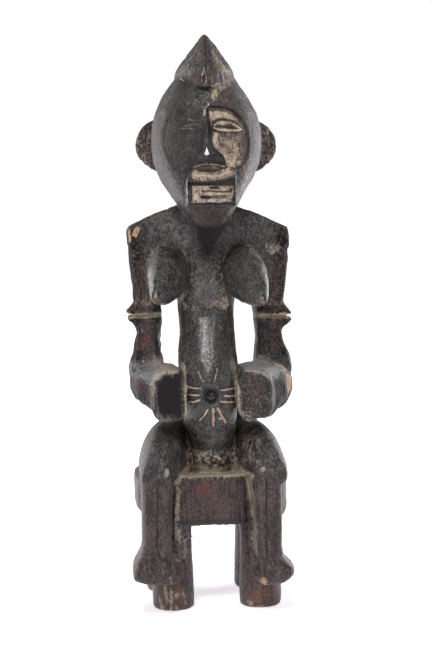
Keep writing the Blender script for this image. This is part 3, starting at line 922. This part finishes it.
# Chips on the left shoulder's corner show the wood. The arms are rubbed brown, and their armlet grooves are
# full of pale dust.
ragged = 0.3 * rough(points, (4, 4, 4), 71)
edge_chip = 1 - step_up(np.linalg.norm((points - np.array((-62, -15, 283.4))) / np.array((3.0, 6, 8.4)), axis=1) + ragged, 0.85, 1.05)
flat_chip = area([(-54.2, 291.2), (-51.4, 290.2), (-52.6, 285.0), (-54.8, 281.6), (-58.0, 284.2), (-56.8, 287.6)], 0.3, -30, -8)
for chip, deep in ((edge_chip, 0.9), (flat_chip, 0.8)):
    points += facing * (-deep * chip)[:, None]
    lay("bare", chip)
lay("brown", 0.7 * area([(-59.8, 289.4), (-57.6, 289.4), (-57.4, 281), (-59.4, 279)], 0.8, -30, -8))
lay("crust", 0.6 * area([(41.4, 279.6), (47.4, 275.9), (53.6, 274.8), (56.6, 269.2), (50, 265.8), (44.3, 270.8)], 1.8, -32, 0))
lay("crust", 0.4 * area([(-60, 276), (-55, 272), (-53, 262), (-60, 262)], 2.5, -32, 0))
lay("red", 0.66 * patch((-49, -12, 203), (8, 7, 13), 0.7))
lay("brown", 0.42 * patch((-52, -12, 250), (9, 10, 26), 0.7))
arm_sides = step_up(np.abs(x), 46, 56) * step_up(z, 186, 190) * (1 - step_up(z, 284, 292))
forearm_sides = step_up(np.abs(x), 39, 46) * step_up(y, -52, -40) * (1 - step_up(y, 4, 16)) * step_up(z, 138, 148) * (1 - step_up(z, 174, 181))
lay("dull", np.maximum(arm_sides, 0.8 * forearm_sides))
lay("soot", np.where(x < 0, 0.3, 0.46) * forearm_sides)
lay("veil", 0.4 * forearm_sides * step_up(y, -44, -34))
lay("red", 0.6 * area([(-59.8, 181.6), (-53.5, 180.5), (-49.9, 172.8), (-50.1, 163.7), (-56.9, 166.2), (-60.6, 172)], 2.5, -48, 10))
lay("warm", 0.5 * step_up(np.abs(x), 36, 46) * step_up(z, 188, 196) * (1 - step_up(z, 262, 284)))
lay("brown", 0.40 * patch((52, -12, 200), (9, 10, 22), 0.7))
for middle_z, outer, sign in ((224.6, -61, -1), (221.8, 61, 1)):
    groove = np.exp(-(((z - middle_z + 1.6) / 1.9) ** 2)) * (np.abs(x - sign * 49) < 15) * (y > -20) * (y < 20)
    lay("crust", np.clip(1.8 * groove, 0, 1.3) * step_up(-y, -8, 2))
    lay("crust", 0.6 * groove)
    above = step_up(z, middle_z + 4, middle_z + 7) * (1 - step_up(z, middle_z + 9, middle_z + 15)) * (np.abs(x - sign * 49) < 15) * (1 - step_up(y, -6, 8))
    lay("crust", 0.5 * above * step_up(rough(points, (3, 3, 2), 73), -0.5, 0.3))
    lay("brown", 0.6 * above)

# The forearms' flat tops are grey with dust. The left hand is black, and the right one is rubbed red.
left_top = [
    (-60.9, 186.0), (-53.4, 188.8), (-47.2, 192.5), (-42.7, 193.1), (-34.4, 191.4), (-26.9, 188.9), (-20.9, 187.2), (-21.0, 181.9),
    (-31.6, 181.4), (-39.3, 178.6), (-45.4, 174.2), (-48.5, 170.5), (-52.9, 176.7), (-57.3, 181.4),
]
right_top = [
    (16.9, 182.2), (17.9, 186.7), (25.6, 188.8), (33.2, 190.9), (39.2, 190.7), (43.7, 188.3), (51.3, 185.1), (57.3, 181.9),
    (51.9, 177.5), (48.8, 173.5), (44.4, 173.2), (37.5, 177.9), (28.4, 180.4),
]
lay("dust", np.where(x < -44, 0.62, 0.95) * area(left_top, 1.0, -56, 20))
lay("dust", 0.8 * area(right_top, 1.0, -56, 20))
lay("crust", 0.86 * area([(-43, 190.0), (-33, 189.6), (-19.4, 186.8), (-19.5, 182.5), (-31.6, 182.0), (-39.5, 179.6)], 2.2, -56, 20))
lay("crust", 0.9 * stroke([(-47.6, 172.4), (-44.4, 176.6), (-40.5, 180.3), (-34, 182.4), (-21, 183.0)], 1.3, -56, -20))
lay("crust", 0.8 * stroke([(16, 182.6), (31, 182.0), (38, 179.4), (42.4, 173.5)], 1.2, -56, -20))
lay("crust", 0.6 * patch((19, -40, 185), (7, 12, 4), 0.6))
for ridge in ([(-53.0, 186.4), (-49.1, 188.6), (-45.2, 190.8), (-39.9, 191.5)], [(36.0, 190.0), (40.0, 189.4), (44.6, 187.0), (50.8, 182.9), (58.5, 179.7)]):
    lay("pale", 0.8 * stroke(ridge, 1.2, -48, 20))
lay("soot", 0.46 * area([(43.5, 174), (49, 172.6), (54, 176), (58.6, 176), (60, 160), (54, 148), (43.5, 150)], 2.0, -52, 12))
lay("soot", 0.36 * area([(-60.5, 182.5), (-57, 183), (-48.6, 172), (-47.4, 164), (-58, 164)], 2.0, -52, 12))
lay("dust", 0.5 * stroke([(-60.5, 184.5), (-55.0, 181.0), (-50.2, 175.0)], 0.7, -52, 12))
lay("soot", 0.4 * area([(44.4, 184.8), (50.4, 181.4), (56.8, 178.4), (53, 176.6), (47.6, 174.4)], 1.2, -56, 20))
lay("soot", 0.35 * stroke([(-57.0, 180.6), (-52.6, 176.0), (-48.6, 169.8)], 0.9, -56, 10))
lay("brown", 0.85 * stroke([(42.2, 172.1), (42.9, 166.8), (42.8, 160.8)], 0.8, -60, -36))
lay("dust", 0.55 * stroke([(44.1, 171.7), (46.2, 164.9), (45.3, 157.4), (42.2, 152.2), (38.4, 148.5)], 0.8, -60, -30))
black_hand = area([(-38.9, 181.6), (-24.2, 181.6), (-24.2, 147.5), (-37.2, 147.5), (-41.6, 152.3), (-42.6, 159.1), (-42.4, 174.7)], 1.0, -60, -44)
lay("soot", 0.78 * black_hand)
lay("dull", 0.6 * black_hand)
hand_edge = [(-40.7, 182.1), (-43.7, 178.5), (-45.0, 173.3), (-45.5, 165.8), (-45.4, 159.9), (-43.5, 154.6), (-40.7, 150.0)]
lay("brown", 0.8 * stroke(hand_edge, 1.3, -60, -36))
lay("crust", 0.8 * stroke(hand_edge, 0.9, -60, -36))
lay("red", 0.5 * area([(19, 181), (30, 180.5), (37, 176), (40.5, 168), (40, 156), (33, 148.8), (22, 147)], 3.5, -60, -44))
lay("crust", 0.35 * area([(33, 168), (36, 166), (38, 158), (35, 152), (31, 156)], 1.5, -60, -44))
lay("crust", 0.4 * stroke([(41.5, 172), (42.3, 163), (40.5, 154.5), (36.5, 149)], 0.7, -60, -40))
elbow_spot = np.linalg.norm((points - np.array((60.6, -26, 169))) / np.array((6, 8, 9)), axis=1)
elbow_chip = 1 - step_up(elbow_spot + 0.4 * rough(points, (5, 5, 7), 75), 0.85, 1.0)
points += facing * (-1.0 * elbow_chip)[:, None]
lay("bare", elbow_chip)
finish["soot"] *= 1 - elbow_chip

# Dust and grease have packed into the creases beside the belly, in the lap and along the seat.
for crease, width, amount in (
    ([(-20.8, 183), (-20.9, 160.9), (-21.6, 142.1)], 1.5, 1.0), ([(-22.9, 142.1), (-21.0, 130.8), (-18.2, 123.1), (-20.3, 114.2)], 1.9, 0.75),
    ([(16.2, 187.6), (17.2, 171.1), (18.9, 144.6)], 2.6, 0.85), ([(18.6, 144.6), (17.7, 137.2), (16.8, 125.9), (17.4, 118.3)], 2.4, 0.6),
    ([(-26.2, 104.9), (-18.9, 107.0), (-12.8, 107.6), (-2.3, 105.6), (8.2, 105.9), (17.3, 107.2), (26.8, 104.7)], 1.7, 1.1),
    ([(-26.8, 104), (-27.6, 92), (-28.8, 78), (-29.4, 66)], 2.2, 0.8), ([(24.9, 104), (26.4, 92), (27.8, 78), (28.4, 60), (28, 44)], 2.0, 0.72),
):
    lay("crust", amount * stroke(crease, width, -62, -20))
lap = area([(-17.6, 122.6), (16.5, 123.1), (18.5, 111.9), (18.7, 105.0), (-20.9, 106.1), (-21.1, 112.2)], 2.4, -62, -20)
mottled = step_up(rough(points, (1.5, 1.5, 1.2), 45), -0.5, 0.5)
lay("crust", 1.1 * lap * mottled)
lay("brown", 0.34 * lap)
lay("soot", 0.3 * lap * (1 - mottled))
seat_top = (np.abs(x) < 27) * step_up(-y, 22, 27) * step_up(z + 0.7 * rough(points, (5, 3, 3), 48), 100.4, 102.6) * (z < 105)
lay("crust", 0.95 * seat_top)
press(-0.4 * lap * rough(points, (1.6, 1.6, 1.6), 46))
lay("veil", 0.9 * patch((-31, -50, 124), (14, 18, 18)))
lay("dust", 0.5 * step_up(rough(points, (3, 3, 4), 87), -0.4, 0.5) * patch((-31, -50, 124), (14, 18, 18)))
lay("crust", 0.44 * area([(17, 146), (27, 150), (34, 138), (36, 122), (30, 112), (20, 112)], 4, -75, -30))
lay("crust", 0.5 * patch((20.5, -46, 148), (6, 12, 9), 0.7))
points += facing * (0.5 * lap * rough(points, (2.4, 2.4, 2.4), 41))[:, None]
for lump, size, high in (((-38.6, -45, 142.5), (4, 8, 4.5), 1.8), ((26.0, -46, 144.5), (4.6, 8, 5), 1.6), ((22.0, -47, 138), (4, 6, 4), 0.9)):
    share = patch(lump, size, 0.6)
    points += facing * (high * share * (0.7 + 0.6 * rough(points, (2, 2, 2), 43)))[:, None]
    lay("crust", 0.75 * share)
lay("crust", 0.42 * area([(-42, 146.4), (-38.4, 142.3), (-34.7, 137.7), (-26.8, 135.0), (-22.8, 136.3), (-26, 143), (-36, 147)], 2.0, -62, -20))
lay("crust", 0.5 * area([(17.8, 141.7), (21.7, 147.6), (25.5, 150.0), (30, 148.4), (31.5, 143.8), (30, 138.8), (25, 133), (19, 130)], 2.5, -62, -20))
lay("dust", 0.5 * patch((-38, -50, 147), (8, 10, 6)))
lay("dust", 0.4 * patch((-22, -40, 151), (8, 16, 9), 0.8))

# Each knee has a small knob, and the left one a scratch beside it. Each shin has a hollowed inner side.
for knob, size in (((-37.2, -63.0, 109.6), (2.4, 5, 4.0)), ((33.8, -63.0, 109.8), (3.2, 5, 2.2))):
    away = np.linalg.norm((points - np.array(knob)) / np.array(size), axis=1) + 0.25 * rough(points, (2, 2, 2), 47)
    press(-1.6 * np.sqrt(np.clip(1 - away**2, 0, 1)))
    lay("dust", 0.85 * (1 - step_up(away, 0.6, 1.2)))
    lay("polish", 0.9 * (1 - step_up(away, 0.6, 1.2)))
lay("veil", 0.5 * (step_up(z, 100, 112) * (1 - step_up(z, 140, 152)) * step_up(np.abs(x), 18, 26) * (y < 0)))
lay("dust", 0.5 * stroke([(-38.6, 109), (-37.8, 104.5), (-36.4, 103.2)], 1.4, -75, -50))
lay("chalk", 0.6 * stroke([(-49.2, 111.5), (-45, 111.1), (-41.8, 111.3)], 0.45, -75, -50))
lay("chalk", 0.7 * patch((24.6, -56, 132.3), (1.8, 8, 1.4)))
inner_left = area([(-43.2, 104), (-44.6, 80), (-45.2, 54), (-43.2, 46.5), (-37.5, 43.8), (-33, 43.5), (-30, 104)], 0.8, -75, -30)
inner_right = area([(36.9, 104), (35.7, 71.9), (35.9, 44), (32.9, 34.4), (29.8, 31.5), (25, 34), (22, 104)], 0.8, -75, -30)
press(2.2 * inner_left + 2.0 * inner_right)
for line in ([(-43.0, 106), (-44.5, 80), (-45.2, 54), (-43.2, 46.0), (-37.5, 43.2)], [(36.9, 104), (35.8, 71.9), (36, 44), (32.9, 34.0)]):
    lay("soot", 0.8 * stroke(line, 0.9, -75, -40))
    lay("brown", 0.4 * stroke(line, 2.2, -75, -40))
lay("veil", 0.45 * np.maximum(inner_left, inner_right))

# The stool's seat is reddish under its black, and its legs are brown and worn at the foot.
lay("warm", 1 - step_up(z, 100, 118))
lay("warm", 0.55 * step_up(z, 296, 312) * step_up(np.abs(x + 0.5 * (z - 340) / 40), 20, 34))
lay("warm", 0.6 * step_up(z, 388, 400))
lay("warm", 0.7 * patch((0, -52, 298), (18, 14, 10)))
lay("warm", 0.6 * patch((16, -46, 388), (16, 16, 14)))
lay("red", 0.45 * area([(-27, 102), (24, 102), (26, 70), (-28, 70)], 2.5, -60, -30))
blotches = step_up(rough(points, (4, 4, 5), 52), -0.3, 0.3)
lay("red", 1.25 * blotches * patch((-8, -44, 91), (8, 5, 7), 0.7))
lay("red", 0.9 * blotches * patch((13, -44, 82), (5, 5, 9), 0.7))
lay("red", 0.7 * blotches * patch((-20, -44, 78), (5, 5, 6), 0.7))
lay("chalk", 0.4 * stroke([(-12.2, 102.4), (-8, 101.9), (-5.4, 101.8)], 0.5, -60, -30))
lay("soot", 0.6 * area([(-30, 70.5), (27, 70.5), (27, 66), (-30, 66)], 1.0, -60, -36))
upper_leg = area([(-32.6, 65.5), (-19.4, 66.6), (-20.4, 50.3), (-22.6, 37.4), (-33.6, 37.5)], 2.0, -60, -20)
leg_grain = step_up(rough(points, (1.6, 3, 12), 53), -0.5, 0.5)
lay("veil", upper_leg)
lay("dust", 0.62 * upper_leg * leg_grain)
lay("crust", 0.66 * upper_leg * leg_grain)
lay("dust", 0.8 * stroke([(-27, 51.5), (-22.4, 54), (-17, 57.6)], 1.1, -60, -28))
lay("brown", 0.4 * upper_leg)
lay("crust", 0.8 * area([(-31.2, 102), (-26.8, 102), (-28.2, 71.6), (-31.9, 71.6)], 0.9, -60, -24) * step_up(leg_grain, 0.1, 0.6))
lay("crust", 0.62 * area([(-33.4, 66), (-28.0, 66), (-27.6, 47), (-34.4, 45)], 1.6, -60, -20) * leg_grain)
lay("crust", 0.6 * stroke([(-32.6, 64), (-33, 50), (-32, 41), (-28, 38.6)], 1.6, -60, -20))
lay("crust", 0.5 * stroke([(-26.5, 65), (-26.2, 58)], 1.2, -60, -20))
lay("bare", 0.8 * stroke([(-35.4, 35.5), (-35.6, 30), (-34.8, 24.0)], 1.0, -70, -30))
lay("bare", 0.85 * area([(31.6, 28.0), (34.2, 30.0), (35.6, 27.0), (35.4, 19.4), (31.6, 18.4)], 0.8, -75, -20))
lay("dust", 0.6 * stroke([(37.6, 37.5), (35.4, 33.5), (34.2, 30.6)], 0.9, -75, -30))
lay("crust", 0.5 * patch((24, -40, 34), (9, 10, 8), 0.6) * leg_grain)
lay("soot", 0.6 * stroke([(24.6, 39.8), (30, 38.6), (36.6, 39.6)], 1.2, -75, -30))
lay("brown", 0.6 * patch((-61, -60, 36), (2.6, 8, 9)))
for foot in (patch((-48, -62, 38), (16, 12, 16)), patch((45, -62, 38), (16, 12, 14))):
    lay("dust", 0.3 * foot * step_up(rough(points, (3, 3, 4), 89), -0.4, 0.4))
    lay("brown", 0.36 * foot)
lay("brown", 1.1 * patch((-49, 26, 10), (7, 16, 12)))
lay("bare", 0.45 * patch((-49, 26, 11), (7, 16, 8)))
lay("bare", 0.66 * patch((23.5, -39, 4.0), (4.6, 5, 3.4)))
lay("bare", 0.5 * patch((32, -40, 1.5), (9, 6, 1.6)))
lay("brown", 0.62 * patch((33, -40, 9), (17, 10, 12), 0.6))
lay("red", 0.7 * patch((36, -40, 12), (14, 10, 10), 0.6))
foot_wear = step_up(rough(points, (2.2, 2.2, 5.5), 51), -0.1, 0.4)
lay("crust", 1.15 * foot_wear * patch((-34, -40, 8), (16, 10, 13), 0.6))
lay("brown", 0.7 * patch((-34, -40, 10), (17, 10, 14), 0.6))
lay("soot", 0.5 * (1 - foot_wear) * patch((-34, -40, 12), (17, 10, 14), 0.6))
lay("soot", 0.55 * stroke([(-44, 20.5), (-34, 21.5), (-20, 20.5)], 2.2, -60, -20))
lay("brown", 0.42 * patch((-28, -40, 50), (10, 8, 20), 0.6))
lay("brown", 0.42 * patch((26, -40, 50), (8, 8, 22), 0.6))
lay("brown", 0.35 * patch((-50, -60, 35), (16, 10, 14), 0.7))
lay("brown", 0.3 * patch((46, -60, 30), (16, 10, 14), 0.7))
for side in (-1, 1):
    lay("crust", 0.4 * patch((side * 50, 6, 351), (14, 12, 22), 0.4))
    lay("brown", 0.5 * patch((side * 52, 6, 346), (10, 12, 18), 0.6))

figure.data.vertices.foreach_set("co", points.ravel())
figure.data.update()
points, facing = places_of(figure.data), facings_of(figure.data)

# What the years did all over: dirt lies in the hollows, and edges are rubbed brown.
fine_hollow = ((softened(points, 6) - points) * facing).sum(1)
broad_hollow = ((softened(points, 60) - points) * facing).sum(1)
finish["hollow"] = step_up(fine_hollow, 0.03, 0.25) * 0.45 + step_up(broad_hollow, 0.3, 2.0) * 0.5
finish["edge"] = step_up(-fine_hollow, 0.05, 0.25) * 0.5 + step_up(-broad_hollow, 0.7, 2.4) * 0.35
finish["edge"] *= 1 - 0.8 * calm
for name, share in finish.items():
    layer = figure.data.attributes.new(name, "FLOAT", "POINT")
    layer.data.foreach_set("value", share.astype(np.float32))

# The skin is thinned where it is flat, least of all on the face, and set down in metres over the middle of
# the frame.
x, y, z = points.T
fine_work = np.maximum(area([(-20, 300), (32, 300), (34, 382), (-12, 410), (-34, 382)], 1.0), area([(-24, 138), (18, 138), (18, 188), (-24, 188)], 1.0, -75, -38))
group = figure.vertex_groups.new(name="plain")
for level in range(11):
    chosen = np.nonzero(np.round((1 - fine_work) * 10) == level)[0]
    if len(chosen):
        group.add(chosen.tolist(), 0.15 + 0.085 * level, "REPLACE")
thin = figure.modifiers.new("thin", "DECIMATE")
thin.ratio = min(1, 193000 / (2 * len(figure.data.polygons)))
thin.vertex_group = "plain"
thin.vertex_group_factor = 1.0
bpy.ops.object.modifier_apply(modifier="thin")
figure.vertex_groups.clear()
figure.scale = (0.001, 0.001, 0.001)
figure.location = (-0.0005, 0.00841, 0)
bpy.ops.object.transform_apply(location=True, rotation=True, scale=True)
bpy.ops.object.shade_smooth()
figure.data.calc_loop_triangles()
print("thinned", len(figure.data.loop_triangles))
face_points = places_of(figure.data)
print("on the face", int(((face_points[:, 2] > 0.3) & (face_points[:, 2] < 0.385) & (face_points[:, 1] < -0.03)).sum()), "of", len(face_points))

# The finish. Black polish over brown wood, rubbed brown on the edges, with beige dust in the hollows.
blackened_wood = bpy.data.materials.new("blackened_wood")
blackened_wood.use_nodes = True
tree_of_nodes = blackened_wood.node_tree
surface = tree_of_nodes.nodes["Principled BSDF"]


def add_node(kind, **settings):
    made = tree_of_nodes.nodes.new(kind)
    for name, value in settings.items():
        if name in made.inputs:
            made.inputs[name].default_value = value
        else:
            setattr(made, name, value)
    return made


def wire(source, target):
    tree_of_nodes.links.new(source, target)


where = add_node("ShaderNodeTexCoord").outputs["Object"]


def mottle(size, stretch=(1, 1, 1), detail=4.0, roughness=0.6):
    """A noise with a swell about every size millimetres, drawn out along an axis by stretch."""
    frame_of = add_node("ShaderNodeMapping")
    frame_of.inputs["Scale"].default_value = [1000 / size / part for part in stretch]
    wire(where, frame_of.inputs["Vector"])
    made = add_node("ShaderNodeTexNoise", Scale=1.0, Detail=detail, Roughness=roughness)
    wire(frame_of.outputs["Vector"], made.inputs["Vector"])
    return made.outputs["Fac"]


def sum_up(operation, first, second, third=None):
    made = add_node("ShaderNodeMath", operation=operation)
    for socket, value in zip(made.inputs, (first, second, third)):
        if value is None:
            continue
        if isinstance(value, (int, float)):
            socket.default_value = value
        else:
            wire(value, socket)
    return made.outputs[0]


def ramp(value, low, high):
    made = add_node("ShaderNodeMapRange", interpolation_type="SMOOTHSTEP")
    made.inputs["From Min"].default_value = low
    made.inputs["From Max"].default_value = high
    wire(value, made.inputs["Value"])
    return made.outputs["Result"]


def painted(name):
    return add_node("ShaderNodeAttribute", attribute_name=name, attribute_type="GEOMETRY").outputs["Fac"]


def mask(name, noise_of, spread, low, high):
    """A painted share, broken up by a noise before its edge is drawn."""
    uneven = sum_up("MULTIPLY_ADD", sum_up("SUBTRACT", noise_of, 0.5), spread, painted(name))
    return ramp(uneven, low, high)


def tint(below, share, colour):
    """Lays a colour, or another mixed colour, over what is below."""
    made = add_node("ShaderNodeMix", data_type="RGBA")
    wire(share, made.inputs["Factor"])
    if isinstance(below, tuple):
        made.inputs[6].default_value = below
    else:
        wire(below, made.inputs[6])
    if isinstance(colour, tuple):
        made.inputs[7].default_value = colour
    else:
        wire(colour, made.inputs[7])
    return made.outputs[2]


broad = mottle(24, (1, 1, 2.0))
medium = mottle(5, (1, 1, 1.6))
fine = mottle(1.7, (1, 1, 1.3))
speck = mottle(0.9, detail=3)
grain = mottle(1.3, (1, 1, 14), detail=3)
dabs = sum_up("MULTIPLY_ADD", fine, 0.5, sum_up("MULTIPLY", medium, 0.5))

lightness = sum_up("MULTIPLY_ADD", grain, 0.45, sum_up("MULTIPLY_ADD", broad, 0.4, sum_up("MULTIPLY", fine, 0.3)))
black_skin = tint((0.006, 0.006, 0.006, 1), ramp(lightness, 0.49, 0.68), (0.038, 0.036, 0.033, 1))
brown_skin = tint((0.014, 0.009, 0.009, 1), ramp(lightness, 0.49, 0.68), (0.078, 0.050, 0.044, 1))
warmth = mask("warm", broad, 0.8, 0.25, 0.75)
colour = tint(black_skin, warmth, brown_skin)
fleck_map = sum_up("MULTIPLY_ADD", speck, 0.5, sum_up("MULTIPLY_ADD", fine, 0.4, sum_up("MULTIPLY", medium, 0.2)))
veil = sum_up("MULTIPLY", painted("veil"), ramp(dabs, 0.34, 0.68))
colour = tint(colour, veil, (0.098, 0.094, 0.090, 1))
flecks = sum_up("MULTIPLY", ramp(fleck_map, 0.54, 0.70), sum_up("MULTIPLY_ADD", warmth, -0.45, 0.9))
colour = tint(colour, flecks, (0.165, 0.150, 0.128, 1))
colour = tint(colour, mask("edge", medium, 0.7, 0.4, 1.0), (0.085, 0.055, 0.040, 1))
streaked = sum_up("MULTIPLY_ADD", grain, 0.6, sum_up("MULTIPLY", fine, 0.4))
colour = tint(colour, mask("red", streaked, 1.6, 0.30, 1.1), (0.115, 0.034, 0.022, 1))
colour = tint(colour, mask("brown", streaked, 1.4, 0.30, 1.0), (0.18, 0.105, 0.062, 1))
colour = tint(colour, mask("hollow", dabs, 1.3, 0.35, 0.95), (0.20, 0.165, 0.125, 1))
colour = tint(colour, mask("dust", fleck_map, 1.0, 0.25, 1.15), (0.30, 0.29, 0.28, 1))
colour = tint(colour, mask("crust", dabs, 1.9, 0.25, 1.05), (0.40, 0.335, 0.25, 1))
kaolin_grain = sum_up("MULTIPLY_ADD", sum_up("SUBTRACT", fleck_map, 0.55), 2.0, sum_up("MULTIPLY_ADD", medium, 0.8, -0.4))
kaolin_grain = sum_up("MULTIPLY", kaolin_grain, ramp(painted("pale"), 0.05, 0.35))
kaolin_level = sum_up("ADD", kaolin_grain, painted("pale"))
colour = tint(colour, ramp(kaolin_level, 0.12, 0.45), (0.115, 0.086, 0.066, 1))
colour = tint(colour, ramp(kaolin_level, 0.34, 1.04), (0.60, 0.49, 0.35, 1))
chalked = ramp(kaolin_level, 0.12, 0.6)
colour = tint(colour, mask("chalk", fleck_map, 2.0, 0.30, 1.05), (0.60, 0.58, 0.57, 1))
colour = tint(colour, mask("ochre", fine, 1.2, 0.35, 1.0), (0.44, 0.34, 0.17, 1))
colour = tint(colour, mask("bare", fine, 0.8, 0.35, 0.75), (0.44, 0.30, 0.18, 1))
colour = tint(colour, mask("soot", fine, 0.7, 0.25, 0.85), (0.007, 0.006, 0.006, 1))
pits = ramp(fleck_map, 0.535, 0.45)
colour = tint(colour, sum_up("MULTIPLY", pits, sum_up("MULTIPLY_ADD", chalked, -0.45, 0.72)), (0.010, 0.008, 0.007, 1))
wire(colour, surface.inputs["Base Color"])

chalky = sum_up("MAXIMUM", chalked, sum_up("MAXIMUM", mask("crust", dabs, 1.9, 0.25, 1.05), mask("dust", fleck_map, 1.0, 0.25, 1.15)))
gloss = sum_up("MULTIPLY_ADD", dabs, 0.55, sum_up("MULTIPLY_ADD", grain, 0.7, -0.24))
gloss = sum_up("MULTIPLY_ADD", chalky, 0.22, gloss)
gloss = sum_up("MULTIPLY_ADD", painted("dull"), 0.3, gloss)
gloss = sum_up("MAXIMUM", sum_up("MULTIPLY_ADD", painted("polish"), -0.24, gloss), 0.09)
wire(gloss, surface.inputs["Roughness"])
wire(sum_up("MULTIPLY_ADD", painted("dull"), -0.38, 0.45), surface.inputs["Specular IOR Level"])

height = sum_up("MULTIPLY_ADD", grain, 0.5, sum_up("MULTIPLY", fine, 1.2))
height = sum_up("MULTIPLY_ADD", speck, 0.5, height)
height = sum_up("MULTIPLY", height, sum_up("MULTIPLY_ADD", painted("polish"), -0.9, 1.0))
bump = add_node("ShaderNodeBump", Strength=1.0, Distance=0.0007)
wire(height, bump.inputs["Height"])
wire(bump.outputs["Normal"], surface.inputs["Normal"])
figure.data.materials.clear()
figure.data.materials.append(blackened_wood)

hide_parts("seated_figure")
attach(figure, "root")
